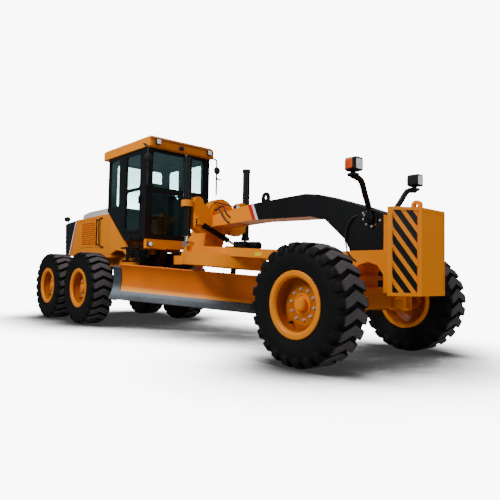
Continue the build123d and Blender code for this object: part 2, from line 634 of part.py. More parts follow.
def tip_rod():
    top = Vector(*TIP_CYL_TOP)
    way = (Vector(*TIP_CYL_EYE) - top).normalized()
    body = rod(tuple(top + way * 188), TIP_CYL_EYE, 20)
    return on_circle(body + bar_x(-20, 20, TIP_CYL_EYE[1], TIP_CYL_EYE[2], 34))


# Blade carrier: two plates on the tip pivot, joined by the side-shift cylinder's barrel
def blade_carrier():
    edge = [BLADE_TOP - 60]
    for rail_z in (RAIL_UP_Z, RAIL_LOW_Z):
        edge.append(rail_z + RAIL_HALF_H + SLIDE_CLEAR)
        edge.append(rail_z - RAIL_HALF_H - SLIDE_CLEAR)
    top, above_up, below_up, above_low, below_low = edge
    up_n = back_n(RAIL_UP_Z) - RAIL_OUT - SLIDE_CLEAR
    low_n = back_n(RAIL_LOW_Z) - RAIL_OUT - SLIDE_CLEAR
    outline = [(TIP_N - 40, TIP_Z + 40), (up_n - 72, above_up - 90), (up_n - 67, top)]
    outline += [(back_n(z) - CARRIER_GAP, z) for z in (top, above_up)] + [(up_n, above_up), (up_n, below_up)]
    outline += [(back_n(z) - CARRIER_GAP, z) for z in (below_up, -560, -640, -720, -790, above_low)]
    outline += [(low_n, above_low), (low_n, below_low), (back_n(below_low) - CARRIER_GAP, below_low),
                (back_n(below_low) - CARRIER_GAP, below_low - 35), (low_n - 36, below_low - 35), (TIP_N - 10, TIP_Z - 60)]
    n = back_n(SHIFT_CYL_Z) - CARRIER_GAP + 2 - SHIFT_CYL_R
    body = along_blade(-CARRIER_U - 20, CARRIER_U + 20, n, SHIFT_CYL_Z, SHIFT_CYL_R)
    for side in (1, -1):
        u0 = side * CARRIER_U - CARRIER_T / 2
        body = body + across_blade(outline, u0, u0 + CARRIER_T)
        body = body + along_blade(u0, u0 + CARRIER_T, TIP_N, TIP_Z, 58)
        body = body - along_blade(u0 - 5, u0 + CARRIER_T + 5, TIP_N, TIP_Z, TIP_PIN_R + RUN_CLEAR)
    lever = across_blade([(n, -590), (-640, TIP_Z + 25), (-640, TIP_Z - 25), (n, -655)], 22, 52)
    body = body + lever - along_blade(-440, CARRIER_U + 30, n, SHIFT_CYL_Z, SHIFT_CYL_ROD_R + RUN_CLEAR)
    return on_circle(body)


# A band of the blade's curve between two radii, from one height down to another
def curve_band(inner_r, outer_r, z_top, z_bottom, u0, u1):
    def at(radius, level):
        drop = asin((level - BLADE_MID) / BLADE_R)
        return (BLADE_CENTRE_N - radius * cos(drop), BLADE_MID + radius * sin(drop))

    middle = (z_top + z_bottom) / 2
    a, b, c = at(inner_r, z_top), at(inner_r, middle), at(inner_r, z_bottom)
    d, e, f = at(outer_r, z_bottom), at(outer_r, middle), at(outer_r, z_top)
    wire = Wire([ThreePointArc(a, b, c), Line(c, d), ThreePointArc(d, e, f), Line(f, a)])
    face = Plane(origin=(u0, 0, 0), x_dir=(0, -1, 0), z_dir=(-1, 0, 0)) * make_face(wire)
    return extrude(face, -(u1 - u0))


def moldboard():
    s = BLADE_SHIFT
    body = curve_band(BLADE_R, BLADE_R + BLADE_T, BLADE_TOP, BLADE_BOTTOM + 40, s - BLADE_HALF, s + BLADE_HALF)
    for z in (RAIL_UP_Z, RAIL_LOW_Z):
        face = -back_n(z)
        body = body + block(s - RAIL_HALF, s + RAIL_HALF, face - BLADE_T / 2, face + RAIL_OUT, z - RAIL_HALF_H,
                            z + RAIL_HALF_H)
    z = SHIFT_CYL_Z
    n = back_n(z) - CARRIER_GAP + 2 - SHIFT_CYL_R
    body = body + along_blade(-330, 880, n, z, SHIFT_CYL_ROD_R)
    face = back_n(z) + BLADE_T / 2
    body = body + across_blade([(n - 35, z - 40), (n - 35, z + 40), (face, z + 40), (face, z - 40)], 860, 900)
    return on_circle(body)


def cutting_edges():
    s = BLADE_SHIFT
    low = BLADE_BOTTOM
    edge = curve_band(BLADE_R - EDGE_T, BLADE_R, low + 150, low, s - BLADE_HALF, s + BLADE_HALF)
    bits = []
    for side in (1, -1):
        u0 = min(side * BLADE_HALF, side * (BLADE_HALF + BIT_W)) + s
        bits.append(curve_band(BLADE_R - EDGE_T, BLADE_R + BLADE_T, BLADE_TOP - 40, low, u0, u0 + BIT_W))
    return [on_circle(piece) for piece in [edge] + bits]


# Rear frame: rails, hinge fork, side plates, bumper and hitch
def rear_frame():
    low, low_top, high, high_top = HINGE_Z
    z0, z1 = RAIL_Z
    rail = block(REAR_X, HINGE_X - 330, RAIL_Y - RAIL_W / 2, RAIL_Y + RAIL_W / 2, z0, z1)
    body = rail + mirrored(rail)
    for x in (HINGE_X - 450, TANDEM_X, REAR_X):
        body = body + block(x, x + 120, -RAIL_Y, RAIL_Y, z0, z1)
    for za, zb in ((low, low_top), (high, high_top)):
        fork = bar_z(za, zb, HINGE_X, 0, HINGE_R) + block(HINGE_X - 450, HINGE_X, -HINGE_R, HINGE_R, za, zb)
        body = body + fork
    body = body + block(HINGE_X - 450, HINGE_X - 270, -HINGE_R, HINGE_R, low, high_top)
    body = body + bar_z(low - 10, high_top + 10, HINGE_X, 0, HINGE_PIN_R)
    post = block(CAB_FRONT_X - 120, CAB_FRONT_X + 40, RAIL_Y - 60, RAIL_Y + 60, z1 - 50, CAB_BOTTOM)
    body = body + post + mirrored(post)
    body = body + block(CAB_FRONT_X - 20, CAB_FRONT_X + 60, -CAB_HALF_W, CAB_HALF_W, 1400, CAB_BOTTOM)
    side = [(CAB_FRONT_X - 30, 1240), (CAB_FRONT_X - 30, 1400), (CAB_KNEE_X - 40, 1420), (HOOD_FRONT_X, 2050),
            (HOOD_FRONT_X, HOOD_BOTTOM - 2), (TANDEM_X + TANDEM_SPREAD + 130, 1400),
            (TANDEM_X + TANDEM_SPREAD + 420, 1370), (TANDEM_X + TANDEM_SPREAD + 640, 1240)]
    plate = side_plate(side, HOOD_HALF_W - 40, HOOD_HALF_W)
    sill = block(TANDEM_X - 1100, HOOD_FRONT_X + 60, RAIL_Y, HOOD_HALF_W, z1 - 40, HOOD_BOTTOM - 2)
    tie = block(HINGE_X - 700, HINGE_X - 600, RAIL_Y, HOOD_HALF_W, z1 - 60, z1)
    body = body + plate + mirrored(plate) + sill + mirrored(sill) + tie + mirrored(tie)
    mid = (z0 + z1) / 2
    hitch = block(REAR_X - 80, REAR_X, -70, 70, mid - HITCH_HALF_H, mid + HITCH_HALF_H)
    hitch = hitch - block(REAR_X - 90, REAR_X - 6, -80, 80, mid - 33, mid + 33)
    return body + hitch - bar_z(z0, z1, REAR_X - 42, 0, HITCH_R)


# Tandem cases with the axle housing between them and the four spindles
def tandem_axle():
    y0, y1 = HALF_TRACK - 470.0, HALF_TRACK - 250.0
    case = block(TANDEM_X - TANDEM_SPREAD, TANDEM_X + TANDEM_SPREAD, y0, y1, TYRE_R - 200, TYRE_R + 190)
    for x in (TANDEM_X - TANDEM_SPREAD, TANDEM_X + TANDEM_SPREAD):
        end = HALF_TRACK + RIM_HALF_W + FLANGE_T - DISC_INSET + 14.0
        case = case + bar_y(y0, y1, x, TYRE_R, 195) + bar_y(y1, end, x, TYRE_R, SPINDLE_R)
        case = case + bar_y(y1, HALF_TRACK - 60, x, TYRE_R, 150)
    housing = bar_y(-y0, y0, TANDEM_X, TYRE_R + 30, 190) + Pos(TANDEM_X, 0, TYRE_R + 30) * Sphere(270)
    pads = block(TANDEM_X - 110, TANDEM_X + 110, RAIL_Y - 80, RAIL_Y + 80, TYRE_R + 150, RAIL_Z[0])
    return case + mirrored(case) + housing + pads + mirrored(pads)


def engine():
    return block(TANDEM_X - 1150, TANDEM_X + 150, -330, 330, RAIL_Z[1], RAIL_Z[1] + 720)


# Hood: the side outline, its door openings and its open bottom
def hood():
    outer = [(HOOD_FRONT_X, HOOD_BOTTOM), (HOOD_LOW_REAR_X, HOOD_BOTTOM), (HOOD_TOP_REAR_X, 2110), (HOOD_FRONT_X, 2130)]
    inner = [(HOOD_FRONT_X - HOOD_WALL, 1200), (HOOD_LOW_REAR_X - 50, 1200), (HOOD_LOW_REAR_X - 50, HOOD_BOTTOM),
             (HOOD_TOP_REAR_X - 30, 2080), (HOOD_FRONT_X - HOOD_WALL, 2098)]
    shell = side_plate(outer, -HOOD_HALF_W, HOOD_HALF_W)
    shell = shell - side_plate(inner, HOOD_WALL - HOOD_HALF_W, HOOD_HALF_W - HOOD_WALL)
    x0, x1 = HOOD_DOOR_X
    return shell - block(x0, x1, -HOOD_HALF_W - 5, HOOD_HALF_W + 5, *HOOD_DOOR_Z)


def hood_door():
    x0, x1 = HOOD_DOOR_X
    z0, z1 = HOOD_DOOR_Z
    g = LEAF_GAP
    leaf = block(x0 + g, x1 - g, HOOD_HALF_W - HOOD_WALL, HOOD_HALF_W, z0 + g, z1 - g)
    pins = bar_z(z0 + SEAT_CLEAR, z1 - SEAT_CLEAR, x1 - g - 8, HOOD_HALF_W - 8, 8)
    latch = block(x0 + 40, x0 + 75, HOOD_HALF_W, HOOD_HALF_W + 14, 1790, 1850)
    for row in range(VENT_ROWS):
        z = z0 + 60 + row * VENT_PITCH
        leaf = leaf - block(*VENT_X, HOOD_HALF_W - HOOD_WALL - 5, HOOD_HALF_W + 5, z, z + VENT_PITCH / 2)
    return leaf + pins + latch


def hood_top():
    side = [(HOOD_FRONT_X - 220, 2128), (HOOD_FRONT_X - 240, 2285), (TANDEM_X - 600, 2270), (TANDEM_X - 900, 2230),
            (HOOD_TOP_REAR_X, 2190), (HOOD_TOP_REAR_X, 2112)]
    return side_plate(side, -480, 480)


def hood_rear_outline():
    return [(HOOD_LOW_REAR_X, HOOD_BOTTOM), (TANDEM_X - 1560, 1360), (TANDEM_X - 1620, 2050),
            (HOOD_TOP_REAR_X, 2110)]


def hood_rear():
    shell = side_plate(hood_rear_outline(), -HOOD_HALF_W, HOOD_HALF_W)
    inner = [(HOOD_LOW_REAR_X + 50, 1300), (TANDEM_X - 1525, 1300), (TANDEM_X - 1585, 2015), (HOOD_TOP_REAR_X + 60, 2070)]
    shell = shell - side_plate(inner, HOOD_WALL - HOOD_HALF_W, HOOD_HALF_W - HOOD_WALL)
    return shell - block(TANDEM_X - 1700, TANDEM_X - 1500, -430, 430, 1450, 1950) + rear_grille()


def rear_grille():
    bars = block(TANDEM_X - 1600, TANDEM_X - 1560, -15, 15, 1440, 1960)
    for row in range(12):
        z = 1470 + row * 40
        x = TANDEM_X - 1547 - 60 * (z - 1360) / 690
        bars = bars + block(x - 10, x + 10, -440, 440, z, z + 14)
    return bars


# Cab shell: its side outline, hollowed, with doorways and windows cut
def cab_outline(inset):
    return [(CAB_FRONT_X - inset, CAB_BOTTOM + inset), (CAB_KNEE_X + inset * 0.3, CAB_BOTTOM + inset),
            (CAB_REAR_X + inset, CAB_KNEE_Z + inset * 0.3), (CAB_REAR_X + inset, CAB_TOP - inset),
            (CAB_FRONT_X - inset, CAB_TOP - inset)]


def cab_windows(margin):
    half = CAB_HALF_W
    front = [(CAB_TOP - 690, CAB_TOP - 60), (CAB_BOTTOM + 100, CAB_TOP - 790)]
    cuts = [block(CAB_FRONT_X - CAB_WALL, CAB_FRONT_X, margin - 560, 560 - margin, low + margin, high - margin)
            for low, high in front]
    cuts.append(block(CAB_REAR_X, CAB_REAR_X + CAB_WALL, margin - 520, 520 - margin, CAB_KNEE_Z + 100 + margin,
                      CAB_TOP - 90 - margin))
    cuts = [fillet(cut.edges().filter_by(Axis.X), WINDOW_R - margin) for cut in cuts]
    for side in (1, -1):
        cut = block(QUARTER_X[0] + margin, QUARTER_X[1] - margin, side * (half - CAB_WALL), side * half,
                    QUARTER_Z[0] + margin, QUARTER_Z[1] - margin)
        cuts.append(fillet(cut.edges().filter_by(Axis.Y), WINDOW_R - margin))
    return cuts


def cab_frame():
    shell = side_plate(cab_outline(0), -CAB_HALF_W, CAB_HALF_W)
    shell = shell - side_plate(cab_outline(CAB_WALL), CAB_WALL - CAB_HALF_W, CAB_HALF_W - CAB_WALL)
    for cut in cab_windows(0):
        shell = shell - cut
    return shell - block(*CAB_DOOR_X, -CAB_HALF_W - 5, CAB_HALF_W + 5, *CAB_DOOR_Z)


def cab_glass():
    x_mid = CAB_FRONT_X - CAB_WALL / 2
    half_t = GLASS_T / 2
    rear = CAB_REAR_X + CAB_WALL / 2
    slabs = [block(x_mid - half_t, x_mid + half_t, -CAB_HALF_W, CAB_HALF_W, CAB_BOTTOM, CAB_TOP),
             block(rear - half_t, rear + half_t, -CAB_HALF_W, CAB_HALF_W, CAB_BOTTOM, CAB_TOP)]
    for side in (1, -1):
        y = side * (CAB_HALF_W - CAB_WALL / 2)
        slabs.append(block(*QUARTER_X, y - half_t, y + half_t, *QUARTER_Z))
    panes = []
    for cut in cab_windows(SEAT_CLEAR):
        for slab in slabs:
            pane = cut & slab
            if pane is not None and pane.solids():
                panes.extend(pane.solids())
    return panes


# Cab doors: two windows in a leaf on a pin at its rear edge
def door_window(z0, z1, margin):
    x0, x1 = CAB_DOOR_X
    cut = block(x0 + 60 + margin, x1 - 60 - margin, CAB_HALF_W - CAB_WALL, CAB_HALF_W, z0 + margin, z1 - margin)
    return fillet(cut.edges().filter_by(Axis.Y), WINDOW_R - margin)


def cab_door():
    x0, x1 = CAB_DOOR_X
    z0, z1 = CAB_DOOR_Z
    g = LEAF_GAP
    leaf = block(x0 + g, x1 - g, CAB_HALF_W - CAB_WALL, CAB_HALF_W, z0 + g, z1 - g)
    for low, high in DOOR_WINDOWS:
        leaf = leaf - door_window(low, high, 0)
    pins = bar_z(z0 + SEAT_CLEAR, z1 - SEAT_CLEAR, x0 + g + 8, CAB_HALF_W - 8, 8)
    return leaf + pins + block(x1 - 55, x1 - 30, CAB_HALF_W, CAB_HALF_W + 30, 2200, 2340)


def door_glass():
    y = CAB_HALF_W - CAB_WALL / 2
    panes = []
    for low, high in DOOR_WINDOWS:
        pane = door_window(low, high, SEAT_CLEAR)
        panes.append(pane & block(*CAB_DOOR_X, y - GLASS_T / 2, y + GLASS_T / 2, low, high))
    return panes


def cab_roof():
    slab = block(CAB_REAR_X - 230, CAB_FRONT_X + 130, -ROOF_HALF_W, ROOF_HALF_W, CAB_TOP, ROOF_TOP)
    slab = fillet(slab.edges().filter_by(Axis.Z), 60)
    return chamfer(slab.faces().sort_by(Axis.Z)[-1].edges(), 40)


def cab_seat():
    floor = CAB_BOTTOM + CAB_WALL
    x = CAB_KNEE_X - 60.0
    cushion = fillet(block(x - 60, x + 420, -250, 250, floor + 380, floor + 500).edges(), 40)
    back = fillet(block(x - 130, x, -240, 240, floor + 440, floor + 1150).edges(), 40)
    return cushion + back


def cab_console():
    floor = CAB_BOTTOM + CAB_WALL
    x = CAB_KNEE_X - 60.0
    base = block(x + 90, x + 360, -180, 180, floor, floor + 380)
    front = CAB_FRONT_X - CAB_WALL - 200
    column = side_plate([(front - 60, floor), (front + 120, floor), (front + 60, floor + 740), (front - 60, floor + 850)],
                        -110, 110)
    wheel = Pos(front - 60, 0, floor + 850) * Rot(0, 20, 0) * Torus(190, 16)
    spoke = Pos(front - 60, 0, floor + 845) * Rot(0, 20, 0) * Box(380, 40, 20)
    return [base, column + wheel + spoke]


# Steps: two treads on a pair of cranked straps under each door, and a grab rail on the hood
def steps():
    front = CAB_FRONT_X - 30
    outer = CAB_HALF_W + 70
    step = block(front - 700, front, HOOD_HALF_W, outer, STEP_Z[0], STEP_Z[0] + STEP_T)
    step = step + block(front - 640, front - 60, HOOD_HALF_W + 60, outer, STEP_Z[1], STEP_Z[1] + STEP_T)
    low = STEP_Z[1] + STEP_T / 2
    for x in (front - 560, front - 220):
        strap = [(x + 60, CAB_BOTTOM + 40), (x + 110, CAB_BOTTOM + 40), (x + 95, STEP_Z[0] + 40), (x + 60, STEP_Z[0]),
                 (x + 60, low), (x - 40, low), (x - 40, STEP_Z[0] + 15), (x + 40, STEP_Z[0] + 50)]
        step = step + side_plate(strap, CAB_HALF_W, CAB_HALF_W + STRAP_T)
    y = HOOD_HALF_W + 60
    rail = bar_z(GRAB_Z[0], GRAB_Z[1], GRAB_X, y, GRAB_R)
    for z in (GRAB_Z[0] + 30, GRAB_Z[1] - 30):
        rail = rail + bar_y(HOOD_HALF_W, y + 6, GRAB_X, z, GRAB_R - 4)
    return both_sides(step) + both_sides(rail)


def mirrors():
    y = ROOF_HALF_W + 40
    x = CAB_FRONT_X + 150
    high = ROOF_TOP - 140
    stem = bar_y(ROOF_HALF_W, y, CAB_FRONT_X - 30, high, 12) + Pos(CAB_FRONT_X - 30, y, high) * Sphere(12)
    stem = stem + rod((CAB_FRONT_X - 30, y, high), (x, y, high - 90), 12) + rod((x, y, high - 80), (x, y, high - 760), 12)
    disc_z = ROOF_TOP - 420
    disc = bar_x(x + 8, x + 40, y, disc_z, 110)
    disc = chamfer(disc.edges().filter_by(GeomType.CIRCLE).sort_by(Axis.X)[0], 14)
    return both_sides(stem + disc)


def lamps():
    front = CAB_FRONT_X + 130
    roof = fillet(block(front, front + 50, 515, 605, ROOF_TOP - 155, ROOF_TOP - 65).edges().filter_by(Axis.X), 12)
    cross = bar_x(CAB_FRONT_X + 60, CAB_FRONT_X + 105, CAB_HALF_W - 60, 1475, 45)
    rear = TANDEM_X - 1620.0
    foot = block(rear - 40, rear + 60, 475, 525, 1990, 2075) - side_plate(hood_rear_outline(), 0, HOOD_HALF_W)
    stalk = foot + rod((rear - 20, 500, 2060), (rear - 130, 500, 2160), 14)
    tail = bar_x(rear - 200, rear - 110, 500, 2190, 60)
    return both_sides(roof) + both_sides(cross) + both_sides(stalk + tail)


# Every node and its maker
NODES = [("front_axle", front_axle), ("tie_rod", tie_rod), ("lean_bar", lean_bar),
         ("lean_link_left", lean_link), ("lean_link_right", lambda: mirrored(lean_link())),
         ("knuckle_left", knuckle), ("knuckle_right", lambda: mirrored(knuckle())),
         ("front_frame", front_frame), ("pedestal", pedestal), ("counterweight", counterweight),
         ("headlamps", headlamps), ("saddle", saddle), ("lift_barrels", lift_barrels), ("lift_rods", lift_rods),
         ("shift_barrel", shift_barrel), ("shift_rod", shift_rod), ("drawbar", drawbar),
         ("circle_drive", circle_drive), ("circle", circle), ("blade_arms", blade_arms),
         ("tip_barrel", tip_barrel), ("tip_rod", tip_rod), ("blade_carrier", blade_carrier),
         ("moldboard", moldboard), ("cutting_edges", cutting_edges), ("rear_frame", rear_frame),
         ("tandem_axle", tandem_axle), ("engine", engine), ("hood", hood), ("hood_top", hood_top),
         ("hood_rear", hood_rear), ("hood_door_left", hood_door),
         ("hood_door_right", lambda: mirrored(hood_door())), ("cab_frame", cab_frame), ("cab_glass", cab_glass),
         ("cab_door_left", cab_door), ("cab_door_right", lambda: mirrored(cab_door())),
         ("door_glass_left", door_glass), ("door_glass_right", lambda: [mirrored(p) for p in door_glass()]),
         ("cab_roof", cab_roof), ("cab_seat", cab_seat), ("cab_console", cab_console), ("steps", steps),
         ("mirrors", mirrors), ("lamps", lamps)]

os.makedirs("parts", exist_ok=True)
for node, maker in NODES:
    write(node, maker())
write_wheels()
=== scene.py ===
# %% [markdown]
# # Dressing a motor grader
# The machine's real shapes come from its CAD model, which is loaded as a fixed frame in metres.
# This file gives every piece its finish and adds the small things that CAD leaves out.
# Everything is placed in the CAD model's own coordinates: +X is forward, +Y is left, +Z is up.

# %% Load the frame
import json
from functools import partialmethod
from math import cos, pi, radians, sin

import bmesh
import bpy
from mathutils import Matrix, Vector

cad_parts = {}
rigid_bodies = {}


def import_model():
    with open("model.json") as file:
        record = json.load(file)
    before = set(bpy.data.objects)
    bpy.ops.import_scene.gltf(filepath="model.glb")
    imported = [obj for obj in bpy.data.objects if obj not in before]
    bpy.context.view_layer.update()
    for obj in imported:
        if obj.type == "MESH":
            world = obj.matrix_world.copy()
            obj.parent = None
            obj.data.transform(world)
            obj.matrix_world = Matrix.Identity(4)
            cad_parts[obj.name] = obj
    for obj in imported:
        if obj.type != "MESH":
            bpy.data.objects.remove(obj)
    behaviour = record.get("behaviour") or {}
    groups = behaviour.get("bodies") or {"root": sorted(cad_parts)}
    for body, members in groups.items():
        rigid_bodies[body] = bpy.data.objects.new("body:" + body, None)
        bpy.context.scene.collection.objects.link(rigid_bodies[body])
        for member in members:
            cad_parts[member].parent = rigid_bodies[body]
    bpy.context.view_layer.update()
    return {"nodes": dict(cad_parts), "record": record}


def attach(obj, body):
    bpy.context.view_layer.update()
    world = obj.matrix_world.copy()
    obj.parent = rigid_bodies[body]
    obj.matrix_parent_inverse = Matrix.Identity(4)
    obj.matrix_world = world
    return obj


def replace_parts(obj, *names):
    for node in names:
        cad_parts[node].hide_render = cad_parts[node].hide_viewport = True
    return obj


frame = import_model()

nodes = frame["nodes"]


def new_object(name, data):
    made = bpy.data.objects.new(name, data)
    bpy.context.collection.objects.link(made)
    return made


# %% [markdown]
# ## The camera
# A photograph's camera is a place, a direction and a lens. These numbers come from fitting the wheels'
# centres, so the wheels and the cab land where they are in the picture. The camera leans by about one degree.

# %% Camera
EYE = (7.163, -5.121, 0.98)
YAW, PITCH, ROLL = radians(137.943), radians(2.783), 0.01881
camera_data = bpy.data.cameras.new("Camera")
camera_data.sensor_width = 36.0
camera_data.lens = 35.81
camera = new_object("Camera", camera_data)
bpy.context.scene.camera = camera
forward = Vector((cos(YAW) * cos(PITCH), sin(YAW) * cos(PITCH), sin(PITCH)))
right = Vector((sin(YAW), -cos(YAW), 0.0))
up = right.cross(forward)
right, up = right * cos(ROLL) + up * sin(ROLL), up * cos(ROLL) - right * sin(ROLL)
camera.matrix_world = Matrix.Translation(EYE) @ Matrix((right, up, -forward)).transposed().to_4x4()
print("camera looks along", tuple(round(v, 3) for v in forward))

# %% [markdown]
# ## Touching a surface
# A small fitting has to sit on the face behind it, whatever its exact place. A ray shot at a CAD node gives the
# point where it lands and the way that face looks, so hoses, bolts and plates never float.

# %% Ray helper
RAY_LENGTH = 6.0


def touch(node, start, way):
    """Where a ray from start lands on a CAD node, and the face's own direction."""
    hit, place, normal, _ = nodes[node].ray_cast(Vector(start), Vector(way).normalized(), distance=RAY_LENGTH)
    return (place, normal) if hit else None


def seats_on(node, starts, way):
    """The place and direction where each ray lands, without the rays that miss."""
    return [spot for spot in (touch(node, start, way) for start in starts) if spot]


print("the arch's right side is at y", round(touch("front_frame", (2.5, -2.0, 1.95), (0, 1, 0))[0].y, 3))

# %% [markdown]
# ## Hoses on the front frame
# A hydraulic hose leaves the frame's side, hangs along it in one long bow and goes into the box below. Two more
# leave the saddle's front and dive into the arch's side. A NURBS curve of order three keeps such a bow soft, and
# its round bevel gives the hose its thickness.

# %% Hoses
BOW = [  # x, z and how far the hose stands off the side there
    (3.61, 1.705, -0.004), (3.57, 1.69, 0.008), (3.52, 1.645, 0.02), (3.472, 1.56, 0.024),
    (3.458, 1.44, 0.03), (3.485, 1.33, 0.032), (3.535, 1.25, 0.03), (3.59, 1.19, 0.014),
    (3.64, 1.15, -0.004)]
BOW_SIDE = -0.222  # between its ends the bow stays outside this y
BARE_SIDE = 0.2  # where no ray lands


def frame_side(x, z):
    """The y at a place on the right side of the front frame, or of the box under it."""
    hits = [touch(node, (x, -2.0, z), (0, 1, 0)) for node in ("front_frame", "pedestal")]
    return -max([abs(hit[0].y) for hit in hits if hit], default=BARE_SIDE)


def lay_hose(name, points, diameter):
    """A hose through its points, from where it leaves the machine to where it goes back in."""
    curve = bpy.data.curves.new(name, "CURVE")
    curve.dimensions = "3D"
    curve.resolution_u = 16
    curve.bevel_depth = 1.0
    curve.bevel_resolution = 4
    curve.use_fill_caps = True
    line = curve.splines.new("NURBS")
    line.points.add(len(points) - 1)
    for spot, point in zip(line.points, points):
        spot.co = (*point, 1.0)
        spot.radius = diameter / 2
    line.order_u = 3
    line.use_endpoint_u = True
    hose = new_object(name, curve)
    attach(hose, "front_body")
    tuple(points[0])
    print(name, round(line.calc_length(), 3), "m")
    return hose


bow = [(x, frame_side(x, z) - gap, z) for x, z, gap in BOW]
bow[1:-1] = [(x, min(y, BOW_SIDE), z) for x, y, z in bow[1:-1]]
HOSES = {  # name: points and thickness
    "frame_hose": (bow, 0.02),
    "saddle_hose_upper": ([
        (0.767, -0.055, 2.056), (0.89, -0.085, 2.078), (1.015, -0.15, 2.05), (1.115, -0.218, 1.98),
        (1.185, -0.24, 1.905), (1.24, -0.196, 1.85)], 0.024),
    "saddle_hose_lower": ([
        (0.767, -0.125, 2.01), (0.88, -0.165, 2.032), (0.975, -0.218, 2.01), (1.045, -0.243, 1.955),
        (1.1, -0.245, 1.89), (1.155, -0.243, 1.825), (1.2, -0.226, 1.788), (1.22, -0.196, 1.772)], 0.026),
}
hoses = [lay_hose(name, *shape) for name, shape in HOSES.items()]

# %% [markdown]
# ## Light
# A product picture on white has soft light from all sides with one stronger side. Large area lights give soft
# edges and the sky fills the shadows. What the camera sees behind the machine is a brighter white than the sky
# that lights it, which a Light Path node tells apart, so the paint keeps its depth on a white page.

# %% Studio
PAGE_WHITE = 9.0
world = bpy.data.worlds.new("Studio")
bpy.context.scene.world = world
world.use_nodes = True
sky = world.node_tree
daylight = sky.nodes["Background"]
daylight.inputs["Color"].default_value = (0.93, 0.95, 1.0, 1.0)
daylight.inputs["Strength"].default_value = 0.2
backdrop = sky.nodes.new("ShaderNodeBackground")
backdrop.inputs["Color"].default_value = (1.0, 1.0, 1.0, 1.0)
backdrop.inputs["Strength"].default_value = PAGE_WHITE
rays = sky.nodes.new("ShaderNodeLightPath")
choose = sky.nodes.new("ShaderNodeMixShader")
sky.links.new(rays.outputs["Is Camera Ray"], choose.inputs[0])
sky.links.new(daylight.outputs[0], choose.inputs[1])
sky.links.new(backdrop.outputs[0], choose.inputs[2])
sky.links.new(choose.outputs[0], sky.nodes["World Output"].inputs["Surface"])

LIGHTS = [  # name, place, target, size, watts
    ("Key", (1.0, -10.0, 9.0), (0.5, 0.0, 1.2), 4.0, 1350.0),
    ("Front", (12.0, -1.0, 4.0), (3.5, 0.0, 1.2), 4.0, 270.0),
    ("Top", (0.0, 0.0, 10.0), (0.0, 0.0, 0.0), 7.0, 520.0),
    ("Back", (-8.0, 6.0, 6.0), (0.0, 0.0, 1.5), 6.0, 240.0),
]
for name, place, target, size, watts in LIGHTS:
    light = bpy.data.lights.new(name, "AREA")
    light.energy = watts
    light.size = size
    lamp = new_object(name, light)
    lamp.location = place
    lamp.rotation_euler = (Vector(target) - Vector(place)).to_track_quat("-Z", "Y").to_euler()
print("lights", len(LIGHTS))

# %% [markdown]
# ## Writing shaders as sums
# A material is a graph of nodes. To keep the graphs readable, a small class stands for one output socket,
# and Python's own + - * / on it add the Math nodes. Colours never go through Math nodes, because those turn
# a colour into grey, so a separate method mixes them.

# %% Shader helpers
def put(tree, socket, value):
    """Gives a socket a value, or a link from another socket."""
    if isinstance(value, Wire):
        value = value.socket
    if isinstance(value, bpy.types.NodeSocket):
        tree.links.new(value, socket)
    else:
        socket.default_value = value


def add_node(tree, kind, settings=None, values=None):
    """A new node with its settings, then a value, a link or a list of links for each socket named."""
    made = tree.nodes.new(kind)
    for key, value in (settings or {}).items():
        setattr(made, key, value)
    for key, value in (values or {}).items():
        for one in value if isinstance(value, list) else [value]:
            put(tree, made.inputs[key], one)
    return made


class Wire:
    """One output socket of a material. Arithmetic on it adds Math nodes."""

    def __init__(self, paint, socket):
        self.paint = paint
        self.socket = socket

    def math(self, operation, *others, clamp=False):
        return self.paint.math(operation, self, *others, clamp=clamp)

    __add__ = partialmethod(math, "ADD")
    __sub__ = partialmethod(math, "SUBTRACT")
    __mul__ = partialmethod(math, "MULTIPLY")
    __truediv__ = partialmethod(math, "DIVIDE")
    __mod__ = partialmethod(math, "FLOORED_MODULO")
    __gt__ = partialmethod(math, "GREATER_THAN")
    __lt__ = partialmethod(math, "LESS_THAN")
    both = partialmethod(math, "MINIMUM")
    either = partialmethod(math, "MAXIMUM")
    size = partialmethod(math, "ABSOLUTE")
    root = partialmethod(math, "SQRT")
    clamped = partialmethod(math, "ADD", 0.0, clamp=True)

    def __rsub__(self, other):
        return self.paint.math("SUBTRACT", other, self)

    def fade(self, start, end):
        """0 below start, 1 above end and a straight slope between them."""
        return ((self - start) / (end - start)).clamped()

    def within(self, low, high):
        return (self > low).both(self < high)


